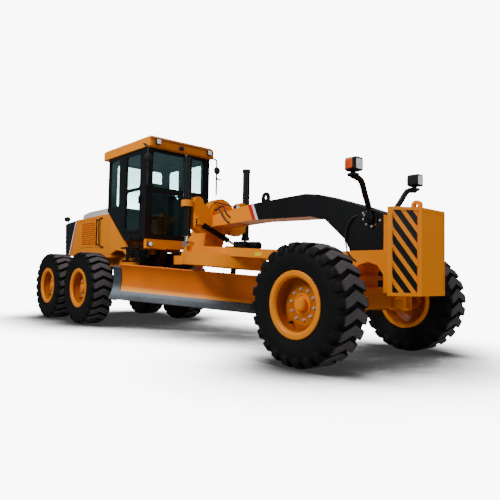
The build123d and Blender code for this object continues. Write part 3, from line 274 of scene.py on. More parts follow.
class Paint:
    """A material and the methods that add to its graph."""

    SOCKETS = {"color": "Base Color", "rough": "Roughness", "metal": "Metallic", "normal": "Normal",
               "coat": "Coat Weight", "coat_rough": "Coat Roughness", "glow": "Emission Color",
               "glow_strength": "Emission Strength", "specular": "Specular IOR Level"}

    def __init__(self, name):
        self.material = bpy.data.materials.new(name)
        self.material.use_nodes = True
        self.tree = self.material.node_tree

    def node(self, kind, settings=None, values=None, out=0):
        return Wire(self, add_node(self.tree, "ShaderNode" + kind, settings, values).outputs[out])

    def math(self, operation, *values, clamp=False):
        return self.node("Math", {"operation": operation, "use_clamp": clamp}, dict(enumerate(values)))

    def place(self):
        """The Object coordinates, which for these pieces are the machine's own metres."""
        return self.node("TexCoord", out="Object")

    def xyz(self):
        split = add_node(self.tree, "ShaderNodeSeparateXYZ", values={0: self.place()})
        return [Wire(self, socket) for socket in split.outputs]

    def facing(self, axis):
        """How much a face looks along an axis."""
        normal = self.node("NewGeometry", out="Normal")
        return self.node("SeparateXYZ", values={0: normal}, out=axis)

    def noise(self, scale, detail=3.0, roughness=0.5, stretch=None):
        vector = self.place()
        if stretch:
            vector = self.node("Mapping", values={"Vector": vector, "Scale": stretch})
        return self.node("TexNoise", values={"Vector": vector, "Scale": scale, "Detail": detail,
                                             "Roughness": roughness})

    def mix(self, factor, low, high):
        """A colour between two colours."""
        return self.node("Mix", {"data_type": "RGBA"}, {0: factor, 6: low, 7: high}, out=2)

    def bump(self, height, distance, strength=1.0):
        return self.node("Bump", values={"Height": height, "Distance": distance, "Strength": strength})

    def set(self, **sockets):
        """Fills the main shader's sockets and hands over the material."""
        shader = self.tree.nodes["Principled BSDF"]
        for key, value in sockets.items():
            put(self.tree, shader.inputs[self.SOCKETS[key]], value)
        return self.material

    def show(self, shader):
        """Shows another shader instead of the main one and hands over the material."""
        put(self.tree, self.tree.nodes["Material Output"].inputs["Surface"], shader)
        return self.material


def rgb(red, green, blue):
    return (red, green, blue, 1.0)


print("shader helpers ready")

# %% [markdown]
# ## Paint
# Machine paint is glossy with a faint orange peel, fades a little unevenly and gathers fine dust low down.
# One function makes each paint from its colour, so the yellow, black and grey share the same skin.

# %% Paint colours
YELLOW = rgb(0.9, 0.262, 0.0)
BLACK = rgb(0.0028, 0.0034, 0.0045)
WHITE = rgb(0.8, 0.8, 0.8)
RED = rgb(0.6, 0.012, 0.01)
# painted bounce light: the pale colour given to the frame's underside in place of light from the ground
BOUNCE_LIGHT_TAN = rgb(0.95, 0.66, 0.4)
DUST = rgb(0.2, 0.13, 0.07)
DUST_FADES = (0.15, 1.1)  # heights where the dust starts to thin out and where it ends


def dusty(paint, color, amount):
    """Adds fine dust that is thicker near the ground."""
    low = 1.0 - paint.xyz()[2].fade(*DUST_FADES)
    cloud = paint.noise(2.6, 5.0, 0.62).fade(0.42, 0.72)
    return paint.mix((low * 0.3 + 0.04) * cloud * amount * 1.4, color, DUST)


def paint_skin(paint, color, rough=0.36, dust=0.5, coat=0.06, specular=0.2):
    """The skin that every machine paint shares: dust, orange peel and a little coat."""
    streak = paint.noise(38.0, 4.0, 0.6).fade(0.35, 0.75)
    return paint.set(color=dusty(paint, color, dust), rough=streak * 0.14 + rough, coat=coat, coat_rough=0.15,
                     specular=specular, normal=paint.bump(paint.noise(420.0, 2.0), 0.0006, 0.25))


def shaded(color, share):
    return rgb(*(part * share for part in color[:3]))


def machine_paint(name, color, **skin):
    paint = Paint(name)
    cloud = paint.noise(1.3, 4.0).fade(0.3, 0.7)
    return paint_skin(paint, paint.mix(cloud, shaded(color, 0.86), color), **skin)


yellow_paint = machine_paint("yellow paint", YELLOW)
black_paint = machine_paint("black paint", BLACK, rough=0.38, dust=0.15)
grey_paint = machine_paint("grey paint", rgb(0.62, 0.64, 0.67), rough=0.4, dust=0.2)
print("paints", yellow_paint.name, black_paint.name, grey_paint.name)

# %% [markdown]
# ## The two-tone front frame
# The frame is black at its nose and yellow behind. A slanted white band and a red band part the two colours.
# The border is a slanted plane, so its place is a sum of x and z, and comparisons pick the band. The rear leg is
# all yellow, and the arch's underside is painted pale, a painted bounce light for the light that the ground throws
# on it.

# %% Front frame paint
BAND_RED, BAND_WHITE, BAND_BLACK = 1.691, 1.768, 1.818
BAND_SLANT, BAND_HEIGHT = 0.466, 1.9
# ahead of this x the underside gets the painted bounce light
PALE_FROM = 1.4  # the underside is pale ahead of this x
LEG_TOP = 1.285
LOOKS_DOWN = -0.6


def painted_frame():
    paint = Paint("frame paint")
    x, _, z = paint.xyz()
    along = x + (z - BAND_HEIGHT) * BAND_SLANT
    color = paint.mix(along > BAND_RED, YELLOW, RED)
    color = paint.mix(along > BAND_WHITE, color, WHITE)
    color = paint.mix(along > BAND_BLACK, color, BLACK)
    below = paint.facing("Z") < LOOKS_DOWN
    # painted light: faces that look down ahead of PALE_FROM are painted pale, as if lit by the ground
    low = paint.mix(below.both(x > PALE_FROM), YELLOW, BOUNCE_LIGHT_TAN)
    return paint_skin(paint, paint.mix(below.either(z < LEG_TOP), color, low), dust=0.2)


frame_paint = painted_frame()
print("frame paint changes colour between x", BAND_RED, "and", BAND_BLACK)

# %% [markdown]
# ## The blade's band
# The blade is lighter along its lower third. The band follows the blade, which lies turned and a
# little tilted, so its height is measured from a slanted line instead of the floor.

# %% Blade paint
BLADE_X, BLADE_Y = 0.64, 0.14
BLADE_WAY = (0.8101, 0.5826)
BLADE_TILT = 0.0817
BLADE_BAND = (0.575, 0.6)


def blade_skin():
    paint = Paint("blade paint")
    x, y, z = paint.xyz()
    height = z + ((x - BLADE_X) * BLADE_WAY[0] + (y - BLADE_Y) * BLADE_WAY[1]) * BLADE_TILT
    upper = paint.mix(paint.noise(2.2, 4.0).fade(0.3, 0.7), rgb(0.68, 0.14, 0.0), rgb(0.8, 0.18, 0.0))
    # noise that makes the edge of the lighter band uneven
    band_edge_noise = paint.noise(5.0, 5.0, 0.6) * 0.02
    color = paint.mix((height + band_edge_noise).fade(*BLADE_BAND), rgb(0.98, 0.33, 0.01), upper)
    return paint_skin(paint, color, dust=0.3)


blade_paint = blade_skin()
print("blade band up to", BLADE_BAND[1], "m")

# %% [markdown]
# ## The roof and the rear frame
# The roof's front face is painted browner than its sides, a painted shade, and the rear frame is black where it
# runs under the cab. A face's own direction picks the faces that get the painted shade, and its place tells the
# black part.

# %% Roof and rear frame paint
# heights where the painted shade on the roof's front turns from a lighter to a darker brown
ROOF_SHADE_SPLIT = (3.29, 3.31)
CAB_REAR, DECK = -1.19, 1.385


def roof_skin_with_painted_shade():
    paint = Paint("roof paint and painted shade")
    # painted shade: faces that look forward get two dark browns in place of the yellow
    band = paint.mix(paint.xyz()[2].fade(*ROOF_SHADE_SPLIT), rgb(0.52, 0.135, 0.0), rgb(0.25, 0.06, 0.0))
    return paint_skin(paint, paint.mix(paint.facing("X").fade(0.3, 0.8), YELLOW, band))


def rear_skin():
    paint = Paint("rear frame paint")
    x, _, z = paint.xyz()
    return paint_skin(paint, paint.mix((x > CAB_REAR).both(z < DECK), YELLOW, BLACK))


roof_paint_and_shade = roof_skin_with_painted_shade()
rear_paint = rear_skin()
print("paints", roof_paint_and_shade.name, rear_paint.name)

# %% [markdown]
# ## Warning stripes
# The counterweight's two wings carry black stripes that run down towards the middle. The size of y makes the
# two sides mirror each other, a slope turns the stripes, and a remainder repeats them. A frame is left plain.

# %% Counterweight paint
STRIPE_PITCH, STRIPE_SLOPE = 0.178, 1.65
STRIPE_SHARE, STRIPE_START = 0.58, 0.085
PANEL_OUT = (0.283, 0.512)
PANEL_Z = (0.814, 1.691)
PANEL_X = 4.28


def striped_panel():
    paint = Paint("warning stripes")
    x, y, z = paint.xyz()
    out = y.size()
    line = ((z - out * STRIPE_SLOPE) / STRIPE_PITCH + STRIPE_START) % 1.0
    inside = out.within(*PANEL_OUT).both(z.within(*PANEL_Z)).both(x > PANEL_X)
    color = paint.mix((line < STRIPE_SHARE).both(inside), YELLOW, BLACK)
    return paint_skin(paint, color, dust=0.1, coat=0.03, specular=0.1)


stripe_paint = striped_panel()
print("stripes repeat every", STRIPE_PITCH, "m up the wing")

# %% [markdown]
# ## The rear of the hood
# The black tail is edged by a slanted white and red stripe along its joint with the yellow hood.

# %% Tail paint
TAIL_SIDE, TAIL_TOP = 0.598, 2.2
EDGE_X, EDGE_Z, EDGE_SLANT = 3.92, 1.31, -0.4375
EDGE_WHITE, EDGE_RED = -0.1, -0.05


def tail_stripe():
    paint = Paint("tail paint")
    x, y, z = paint.xyz()
    side = (y.size() > TAIL_SIDE).both(z < TAIL_TOP)
    along = x + EDGE_X + (z - EDGE_Z) * EDGE_SLANT
    white = paint.mix((along > EDGE_WHITE).both(side), BLACK, WHITE)
    return paint_skin(paint, paint.mix((along > EDGE_RED).both(side), white, RED))


tail_paint = tail_stripe()
print("tail paint ready")

# %% [markdown]
# ## Metals
# Hard chrome rods are smooth with faint lengthwise scratches. The cutting edges are bare hardened steel with a
# blue-grey skin and rubbed patches. The engine block is dark cast iron with a sandy bump.

# %% Chrome, steel and iron
def chrome():
    paint = Paint("hard chrome")
    scratch = paint.noise(300.0, 2.0, 0.5, stretch=(1.0, 1.0, 0.05))
    return paint.set(color=rgb(0.78, 0.79, 0.81), metal=1.0, rough=scratch * 0.12 + 0.06,
                     normal=paint.bump(scratch, 0.0003, 0.15))


def edge_steel():
    """Hard steel worn by soil: dark and bluish, with faint scratches."""
    paint = Paint("edge steel")
    worn = paint.noise(3.5, 4.0, 0.55).fade(0.3, 0.7)
    scratch = paint.noise(70.0, 5.0, 0.7).fade(0.45, 0.75)
    color = paint.mix(worn, rgb(0.045, 0.06, 0.07), rgb(0.085, 0.105, 0.12))
    return paint.set(color=paint.mix(scratch * 0.25, color, rgb(0.16, 0.17, 0.18)), metal=worn * 0.25 + 0.35,
                     rough=worn * 0.1 + 0.42, specular=0.4, normal=paint.bump(scratch, 0.0004, 0.3))


def cast_iron():
    paint = Paint("cast iron")
    sand = paint.noise(240.0, 3.0, 0.7)
    color = paint.mix(paint.noise(6.0, 4.0), rgb(0.02, 0.02, 0.021), rgb(0.05, 0.047, 0.045))
    return paint.set(color=color, metal=0.2, rough=sand * 0.2 + 0.55, normal=paint.bump(sand, 0.0015, 0.5))


chrome_rod = chrome()
bare_edge = edge_steel()
engine_iron = cast_iron()
print("metals ready")

# %% [markdown]
# ## Rubber, wheel paint, plastic and glass
# Tyre rubber is black with lug tops worn grey, and a wheel's dish is painted browner than its lip, a painted shade
# in its hollow. Both follow from one measure, how far a point lies from the nearest axle. The cab's plastic has a
# fine grain. The glass is thin and tinted green, so a see-through shader is mixed with a glossy one, which stays
# quick to render.

# %% Rubber, plastic and glass
AXLES = {"front": 3.6, "mid": -1.86, "rear": -3.4}
AXLE_Z = 0.668
HALF_TRACK = 1.075
LUG_TOPS = (0.655, 0.666)
# radii from an axle between which the wheel's dish gets its painted shade
DISH_SHADE_REACH = (0.118, 0.315)
# painted reflection: above these heights the glass is made to reflect more
WINDOW_PAINTED_SHINE = (2.35, 2.65)  # heights between which the glass starts to shine more
LENS_FLUTES = 90.0


def axle_reach(paint):
    """How far a point lies from the nearest axle."""
    x, _, z = paint.xyz()
    drop = z - AXLE_Z
    alongs = [x - axle_x for axle_x in AXLES.values()]
    front, mid, rear = [(along * along + drop * drop).root() for along in alongs]
    return front.both(mid).both(rear)


def tyre_rubber():
    paint = Paint("tyre rubber")
    grime_and_shade_mottle = paint.noise(7.0, 5.0, 0.6).fade(0.4, 0.7)
    worn = axle_reach(paint).fade(*LUG_TOPS) * (paint.noise(46.0, 6.0, 0.75).fade(0.3, 0.66) * 0.55 + 0.3)
    side = paint.mix(grime_and_shade_mottle * 0.3, rgb(0.0035, 0.0035, 0.004), rgb(0.011, 0.01, 0.009))
    return paint.set(color=paint.mix(worn, side, rgb(0.13, 0.115, 0.12)), rough=grime_and_shade_mottle * 0.1 + 0.62, specular=0.14,
                     normal=paint.bump(paint.noise(190.0, 3.0, 0.6), 0.0012, 0.35))


def rim_paint_and_shade():
    paint = Paint("rim paint and painted shade")
    grime_and_shade_mottle = paint.noise(9.0, 5.0, 0.6).fade(0.3, 0.75) * 0.35 + 0.65
    # painted shade: the dish between these radii is painted browner, unevenly by the mottle
    dish_shade = axle_reach(paint).within(*DISH_SHADE_REACH)
    return paint_skin(paint, paint.mix(dish_shade * grime_and_shade_mottle * 0.8, YELLOW, rgb(0.3, 0.055, 0.0)))


def moulded_plastic(name, color, rough=0.5, specular=0.35):
    paint = Paint(name)
    grain = paint.noise(600.0, 2.0)
    return paint.set(color=color, rough=grain * 0.15 + rough, specular=specular,
                     normal=paint.bump(grain, 0.0005, 0.4))


def see_through(name, tint):
    paint = Paint(name)
    clear = paint.node("BsdfTransparent", values={"Color": tint})
    gloss = paint.node("BsdfGlossy", values={"Color": rgb(0.55, 0.85, 0.85), "Roughness": 0.03})
    slant = paint.node("LayerWeight", values={"Blend": 0.5}, out="Facing")
    film = paint.noise(3.0, 4.0).fade(0.45, 0.8)
    # painted reflection: the glossy share grows with height, so the upper panes shine more
    shine = paint.xyz()[2].fade(*WINDOW_PAINTED_SHINE) * 0.14 + 0.02
    share = slant * slant * slant * 0.5 + film * 0.03 + shine
    return paint.show(paint.node("MixShader", values={0: share, 1: clear, 2: gloss}))


def lens_glass(name, color, glow):
    """A lamp lens: bright, with fine upright flutes in it."""
    paint = Paint(name)
    x, y, _ = paint.xyz()
    flute = (((x + y) * LENS_FLUTES) % 1.0 - 0.5).size()
    patch = paint.noise(16.0, 2.0).fade(0.35, 0.65)
    return paint.set(color=paint.mix(patch, color, shaded(color, 0.55)), rough=0.12, coat=0.6, coat_rough=0.05,
                     glow=color, glow_strength=glow, normal=paint.bump(flute, 0.002, 0.5))


rubber = tyre_rubber()
wheel_paint = rim_paint_and_shade()
black_plastic = moulded_plastic("black plastic", rgb(0.01, 0.01, 0.011))
glass = see_through("cab glass", rgb(0.8, 0.93, 0.92))
clear_lens = lens_glass("clear lens", rgb(0.8, 0.82, 0.84), 0.35)
amber_lens = lens_glass("amber lens", rgb(0.75, 0.09, 0.01), 0.12)
red_lens = lens_glass("red lens", rgb(0.55, 0.01, 0.01), 0.1)
zinc = moulded_plastic("zinc plate", rgb(0.42, 0.42, 0.41), 0.35, 0.6)
print("rubber, plastic, glass and lenses ready")

# %% [markdown]
# ## Dressing the CAD pieces
# The part's record names one slot for every piece, and a table gives each slot its material. A few pieces with a
# pattern of their own get it by name.

# %% Give every CAD piece its finish
FINISHES = {
    "frame_paint": frame_paint, "yellow_paint": yellow_paint, "black_paint": black_paint, "grey_paint": grey_paint,
    "chrome": chrome_rod, "edge_steel": bare_edge, "engine_iron": engine_iron, "tyre": rubber, "glass": glass,
    "black_plastic": black_plastic, "seat_fabric": black_plastic,
}
slots = {row["node"]: row["material_slot"] for row in frame["record"]["subparts"]}


def finish_node(name, material):
    mesh = nodes[name].data
    mesh.materials.clear()
    mesh.materials.append(material)


OWN = {"moldboard": blade_paint, "cab_roof": roof_paint_and_shade, "rear_frame": rear_paint, "counterweight": stripe_paint,
       "hood_rear": tail_paint}
for name, slot in slots.items():
    finish_node(name, wheel_paint if name.startswith("rim_") else OWN.get(name, FINISHES[slot]))
for hose in hoses:
    hose.data.materials.append(black_plastic)
print("dressed", len(slots), "CAD pieces")

# %% [markdown]
# ## Shapes from rings
# Most small pieces are a row of rings with a skin between them: a lathe turns one ring about an axis, a plate
# grows inwards ring by ring for its rounded edge, and a bent rod carries a ring along a path. One small class
# collects such rings and makes one closed mesh of them, with sharp edges kept by angle.

# %% Shape helper
def circle(centre, side, other, radius, steps, start=0.0):
    """Points round a centre, in the plane of two directions."""
    turns = [start + 2 * pi * k / steps for k in range(steps)]
    return [centre + (side * cos(turn) + other * sin(turn)) * radius for turn in turns]


def smooth(mesh, angle=32.0):
    """Smooth shading that keeps an edge sharp where its faces turn by more than an angle."""
    mesh.shade_smooth()
    mesh.set_sharp_from_angle(angle=radians(angle))
    return mesh


class Shape:
    """Points and faces collected for one mesh."""

    def __init__(self):
        self.points = []
        self.faces = []

    def skin(self, rings, closed=False, caps=True):
        """Joins rings of equally many points. The ends get caps, or with closed the last ring meets the first."""
        count = len(rings[0])
        start = len(self.points)
        self.points += [tuple(point) for ring in rings for point in ring]
        pairs = [(i, (i + 1) % len(rings)) for i in range(len(rings) if closed else len(rings) - 1)]
        for low, high in pairs:
            for k in range(count):
                after = (k + 1) % count
                self.faces.append((start + low * count + k, start + low * count + after,
                                   start + high * count + after, start + high * count + k))
        if caps and not closed:
            self.faces.append(tuple(start + k for k in reversed(range(count))))
            self.faces.append(tuple(start + (len(rings) - 1) * count + k for k in range(count)))
        return self

    def lathe(self, centre, axis, profile, steps, closed=True):
        """Turns a profile of (radius, distance along the axis) about an axis through the centre."""
        centre, axis = Vector(centre), Vector(axis).normalized()
        side = axis.orthogonal().normalized()
        other = axis.cross(side)
        rings = []
        for step in range(steps):
            turn = 2 * pi * step / steps
            out = side * cos(turn) + other * sin(turn)
            rings.append([centre + out * radius + axis * along for radius, along in profile])
        return self.skin(rings, closed=True) if closed else self.skin([list(r) for r in zip(*rings)])

    def knob(self, centre, axis, profile, steps=24):
        """A solid turned piece: the profile runs from its back to its front."""
        return self.lathe(centre, axis, profile, steps, closed=False)

    def plate(self, centre, across, up, half, corner, layers):
        """A rounded rectangle; each layer is (inset, height along the plate's normal)."""
        centre, across, up = Vector(centre), Vector(across).normalized(), Vector(up).normalized()
        normal = across.cross(up)
        rings = []
        for inset, height in layers:
            wide, tall, radius = half[0] - inset, half[1] - inset, max(corner - inset, 0.001)
            ring = []
            for quarter, (sx, sy) in enumerate(((1, 1), (-1, 1), (-1, -1), (1, -1))):
                for k in range(5):
                    turn = pi / 2 * (quarter + k / 4)
                    u = sx * (wide - radius) + radius * cos(turn)
                    v = sy * (tall - radius) + radius * sin(turn)
                    ring.append(centre + across * u + up * v + normal * height)
            rings.append(ring)
        return self.skin(rings)

    def rod(self, path, radius, steps=10):
        """A round bar along a path of points."""
        path = [Vector(point) for point in path]
        side = None
        rings = []
        for i, point in enumerate(path):
            way = (path[min(i + 1, len(path) - 1)] - path[max(i - 1, 0)]).normalized()
            side = way.orthogonal().normalized() if side is None else (side - way * side.dot(way)).normalized()
            rings.append(circle(point, side, way.cross(side), radius, steps))
        return self.skin(rings)

    def mesh(self, name):
        mesh = bpy.data.meshes.new(name)
        mesh.from_pydata(self.points, [], self.faces)
        work = bmesh.new()
        work.from_mesh(mesh)
        bmesh.ops.recalc_face_normals(work, faces=work.faces)
        work.to_mesh(mesh)
        work.free()
        return smooth(mesh)

    def ride(self, name, body, material, slot):
        """Makes the collected shape one piece that moves with a body."""
        return settle(name, self.mesh(name), body, material, slot)


def settle(name, mesh, body, material, slot):
    """Makes a piece of a mesh, gives it its finish and lets it move with a body."""
    piece = new_object(name, mesh)
    if material is not None:
        mesh.materials.clear()
        mesh.materials.append(material)
    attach(piece, body)
    return piece


def on_side(out, points):
    """Points given for the left side, where out is 1, or mirrored to the right, where it is -1."""
    return [(x, y * out, z) for x, y, z in points]


SIDES = {"left": 1, "right": -1}
AHEAD, BACK, ACROSS, UP = (1, 0, 0), (-1, 0, 0), (0, 1, 0), (0, 0, 1)
PLASTIC = (black_plastic, "black_plastic")
CLEAR = (clear_lens, "glass")
BODYWORK = (yellow_paint, "yellow_paint")
WHEELS = [(f"{name}_{side}", (axle_x, HALF_TRACK * out, AXLE_Z), out)
          for name, axle_x in AXLES.items() for side, out in SIDES.items()]
print("shape helper ready, wheels:", len(WHEELS))

# %% [markdown]
# ## Growing what repeats
# A Geometry Nodes tree repeats one shape by rule. The class below builds a tree in the script, with a name for
# each input. Growing a piece evaluates the tree once, keeps the plain mesh and drops the modifier, because a
# finished piece has to be a mesh that any program can read.

# %% Tree helper
class Grower:
    """A Geometry Nodes tree with named inputs."""

    KINDS = {int: "NodeSocketInt", float: "NodeSocketFloat", tuple: "NodeSocketVector"}

    def __init__(self, name, **inputs):
        self.tree = bpy.data.node_groups.new(name, "GeometryNodeTree")
        self.tree.interface.new_socket("Geometry", in_out="INPUT", socket_type="NodeSocketGeometry")
        self.ids = {}
        for label, value in inputs.items():
            socket = self.tree.interface.new_socket(label, in_out="INPUT", socket_type=self.KINDS[type(value)])
            socket.default_value = value
            self.ids[label] = socket.identifier
        finish = self.tree.interface.new_socket("finish", in_out="INPUT", socket_type="NodeSocketMaterial")
        self.ids["finish"] = finish.identifier
        self.tree.interface.new_socket("Geometry", in_out="OUTPUT", socket_type="NodeSocketGeometry")
        self.start = self.tree.nodes.new("NodeGroupInput")

    def given(self, label):
        return self.start.outputs[label]

    def node(self, kind, settings=None, values=None, out=0):
        return add_node(self.tree, kind, settings, values).outputs[out]

    def end(self, geometry):
        solid = self.node("GeometryNodeRealizeInstances", values={0: geometry})
        dressed = self.node("GeometryNodeSetMaterial",
                            values={"Geometry": solid, "Material": self.given("finish")})
        self.tree.links.new(dressed, self.tree.nodes.new("NodeGroupOutput").inputs[0])

    def grow(self, name, seed_mesh, body, slot, finish, angle=32.0, **inputs):
        holder = new_object(name + "_seed", seed_mesh)
        growth = holder.modifiers.new("grow", "NODES")
        growth.node_group = self.tree
        for label, value in dict(inputs, finish=finish).items():
            growth[self.ids[label]] = value
        ready = holder.evaluated_get(bpy.context.evaluated_depsgraph_get())
        mesh = bpy.data.meshes.new_from_object(ready)
        mesh.name = name
        bpy.data.objects.remove(holder)
        return settle(name, smooth(mesh, angle), body, None, slot)


print("tree helper ready")

# %% [markdown]
# ## Tyres
# An earthmover tyre has deep chevron lugs that turn down over its shoulders, and smooth sidewalls. The tread
# repeats itself 24 times, so one slice is modelled, a sector of the casing with one lug on it, and a tree turns
# it about the axle. The seams between slices are merged. The lug's top stays on the tyre's real radius.

# %% One slice of a tyre
LUGS = 24
CASING = [(0.0, 0.631), (0.06, 0.631), (0.11, 0.63), (0.15, 0.627), (0.18, 0.619), (0.198, 0.605),
          (0.209, 0.583), (0.2165, 0.552), (0.2205, 0.515), (0.221, 0.478), (0.2165, 0.44), (0.209, 0.408),
          (0.204, 0.392), (0.205, 0.386), (0.201, 0.378), (0.195, 0.366), (0.1893, 0.352), (0.1893, 0.324)]
LUG = [  # distance from the middle, top (out, radius), root (out, radius), half width at the top
    ((0.0, 0.668), (0.0, 0.618), 0.051), ((0.045, 0.668), (0.045, 0.618), 0.051),
    ((0.09, 0.668), (0.09, 0.618), 0.051), ((0.13, 0.6675), (0.13, 0.616), 0.05),
    ((0.165, 0.665), (0.16, 0.61), 0.048), ((0.19, 0.657), (0.18, 0.6), 0.046),
    ((0.207, 0.64), (0.192, 0.588), 0.044), ((0.2175, 0.615), (0.199, 0.572), 0.042),
    ((0.2215, 0.585), (0.204, 0.555), 0.04), ((0.22, 0.556), (0.207, 0.54), 0.038)]
SWEEP = 0.46  # how far a lug leans ahead for each metre outwards
SWEEP_END = 0.165
TREAD_RADIUS = 0.655
SLICE_STEPS = 4


def around(out, radius, turn):
    """A point of the tyre: its distance from the middle, its radius and its turn from the top."""
    return Vector((radius * sin(turn), out, radius * cos(turn)))


def tyre_slice():
    loop = [(-out, radius) for out, radius in reversed(CASING[1:])] + CASING
    turns = [2 * pi / LUGS * (step / SLICE_STEPS - 0.5) for step in range(SLICE_STEPS + 1)]
    piece = Shape().skin([[around(out, radius, turn) for out, radius in loop] for turn in turns], caps=False)
    rings = []
    for side in (-1, 1):
        stations = LUG[::-1] if side < 0 else LUG[1:]
        for top, root, half in stations:
            ahead = min(top[0], SWEEP_END) * SWEEP - 0.5 * SWEEP_END * SWEEP
            edge = (top[0], top[1] - 0.007)
            shape = [(-half - 0.011, root), (-half - 0.004, edge), (-half + 0.003, top), (0.0, top),
                     (half - 0.003, top), (half + 0.004, edge), (half + 0.011, root)]
            rings.append([around(side * out, r, (ahead + t) / TREAD_RADIUS) for t, (out, r) in shape])
    return piece.skin(rings).mesh("tyre_slice")


slice_mesh = tyre_slice()
print("tyre slice faces", len(slice_mesh.polygons))

# %% Turn the slice about each axle
tread = Grower("tyre tread", lugs=LUGS, axle=(0.0, 0.0, 0.0), phase=0.0)
spots = tread.node("GeometryNodeMeshLine", values={"Count": tread.given("lugs"), "Offset": (0.0, 0.0, 0.0)})
place = tread.node("ShaderNodeMath", {"operation": "DIVIDE"},
                   {0: tread.node("GeometryNodeInputIndex"), 1: tread.given("lugs")})
turned = tread.node("ShaderNodeMath", {"operation": "MULTIPLY_ADD"}, {0: place, 1: 2 * pi, 2: tread.given("phase")})
spin = tread.node("ShaderNodeCombineXYZ", values={"Y": turned})
slices = tread.node("GeometryNodeInstanceOnPoints",
                    values={"Points": spots, "Instance": tread.given("Geometry"), "Rotation": spin})
whole = tread.node("GeometryNodeRealizeInstances", values={0: slices})
welded = tread.node("GeometryNodeMergeByDistance", values={"Geometry": whole, "Distance": 0.0003})
tread.end(tread.node("GeometryNodeTransform", values={"Geometry": welded, "Translation": tread.given("axle")}))

for name, centre, _ in WHEELS:
    tyre = tread.grow("tread_" + name, slice_mesh, f"wheel_{name}_body", "tyre", rubber, angle=40.0, lugs=LUGS,
                      axle=centre, phase=pi / LUGS)
    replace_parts(tyre, "tyre_" + name)
print("tyres of", len(tyre.data.polygons), "faces")

# %% [markdown]
# ## Wheel fittings
# Each rim has a wide rounded lip, a ring round its hub, a circle of steel wheel bolts and a tyre valve low in the
# dish. The lip and ring are turned, and the bolts are grown by a tree that seats one bolt head on every point it
# is given, turned to look the way that the point's own arrow says.

# %% Bolt heads
bolts = Grower("bolt heads", head=0.012, rise=0.009, seed=1)


def bolt_part(sides, top, bottom, depth, lift):
    cone = bolts.node("GeometryNodeMeshCone", values={"Vertices": sides, "Radius Top": top, "Radius Bottom": bottom,
                                                      "Depth": depth})
    return bolts.node("GeometryNodeTransform", values={"Geometry": cone, "Translation": (0.0, 0.0, lift)})


way = bolts.node("GeometryNodeInputNamedAttribute", {"data_type": "FLOAT_VECTOR"}, {"Name": "way"})
facing = bolts.node("FunctionNodeAlignRotationToVector", {"axis": "Z"}, {"Vector": way})
hexagon, washer = bolt_part(6, 0.86, 1.0, 1.0, 0.15), bolt_part(14, 1.3, 1.45, 0.3, -0.05)
head = bolts.node("GeometryNodeJoinGeometry", values={0: [hexagon, washer]})
size = bolts.node("ShaderNodeCombineXYZ", values={"X": bolts.given("head"), "Y": bolts.given("head"),
                                                  "Z": bolts.given("rise")})
seats = bolts.node("GeometryNodeInstanceOnPoints", values={"Points": bolts.given("Geometry"), "Instance": head,
                                                           "Rotation": facing, "Scale": size})
angle = bolts.node("FunctionNodeRandomValue", {"data_type": "FLOAT"},
                   {2: 0.0, 3: 1.05, "Seed": bolts.given("seed")}, out=1)
twist = bolts.node("ShaderNodeCombineXYZ", values={"Z": angle})
bolts.end(bolts.node("GeometryNodeRotateInstances",
                     values={"Instances": seats, "Rotation": twist, "Local Space": True}))


def bolt_seats(name, places):
    """Loose points, each with the direction that its bolt looks."""
    mesh = bpy.data.meshes.new(name)
    mesh.from_pydata([tuple(place) for place, way in places], [], [])
    arrows = mesh.attributes.new("way", "FLOAT_VECTOR", "POINT")
    for item, (place, way) in zip(arrows.data, places):
        item.vector = way
    return mesh


def bolt_on(name, places, body, head, rise, finish=zinc, slot="chrome"):
    return bolts.grow(name, bolt_seats(name + "_seats", places), body, slot, finish, head=head, rise=rise)


print("bolt tree has", len(bolts.tree.nodes), "nodes")

# %% Rim lips, hub rings, wheel bolts and valves
LIP = [(0.3045, 0.16), (0.3045, 0.1985), (0.3615, 0.1985), (0.3615, 0.2045), (0.357, 0.2075), (0.348, 0.2085),
       (0.319, 0.2085), (0.312, 0.207), (0.306, 0.202), (0.296, 0.194), (0.288, 0.184), (0.286, 0.172),
       (0.288, 0.162)]
HUB_RING = [(0.1, 0.058), (0.1, 0.068), (0.104, 0.0725), (0.112, 0.0725), (0.117, 0.068), (0.117, 0.058)]
CAP = [(0.001, 0.119), (0.056, 0.119), (0.056, 0.1245), (0.052, 0.128), (0.02, 0.131), (0.001, 0.1315)]
VALVE = [(0.018, 0.04), (0.018, 0.062), (0.013, 0.07), (0.013, 0.098), (0.01, 0.103)]
VALVE_FROM_AXLE = Vector((-0.155, 0.0, -0.2))
DISC_FACE = 0.062
BOLT_RING = (0.165, 10, 0.3)  # radius, number of bolts, turn of the first one
WHEEL_BOLT = (0.0135, 0.016)  # size of a head and how far it stands out
for name, centre, out in WHEELS:
    centre, axis, body = Vector(centre), Vector((0, out, 0)), f"wheel_{name}_body"
    trim = Shape().lathe(centre, axis, LIP, 64).lathe(centre, axis, HUB_RING, 40).lathe(centre, axis, CAP, 32)
    trim.ride("rim_lip_" + name, body, *BODYWORK)
    side = axis.orthogonal().normalized()
    ring = circle(centre + axis * DISC_FACE, side, axis.cross(side), *BOLT_RING)
    bolt_on("wheel_bolts_" + name, [(spot, axis) for spot in ring], body, *WHEEL_BOLT)
    Shape().knob(centre + VALVE_FROM_AXLE, axis, VALVE, 12).ride("valve_" + name, body, *PLASTIC)
print("wheel trim on", len(WHEELS), "wheels")

# %% [markdown]
# ## Lamps
# The headlamps are square boxes with a clear lens in front and an amber marker on the outer side, each in a black
# rim. The roof, crossmember, tail and work lamps get a lens of their own shape. A lens is slightly crowned and
# stands a few millimetres out of its housing.

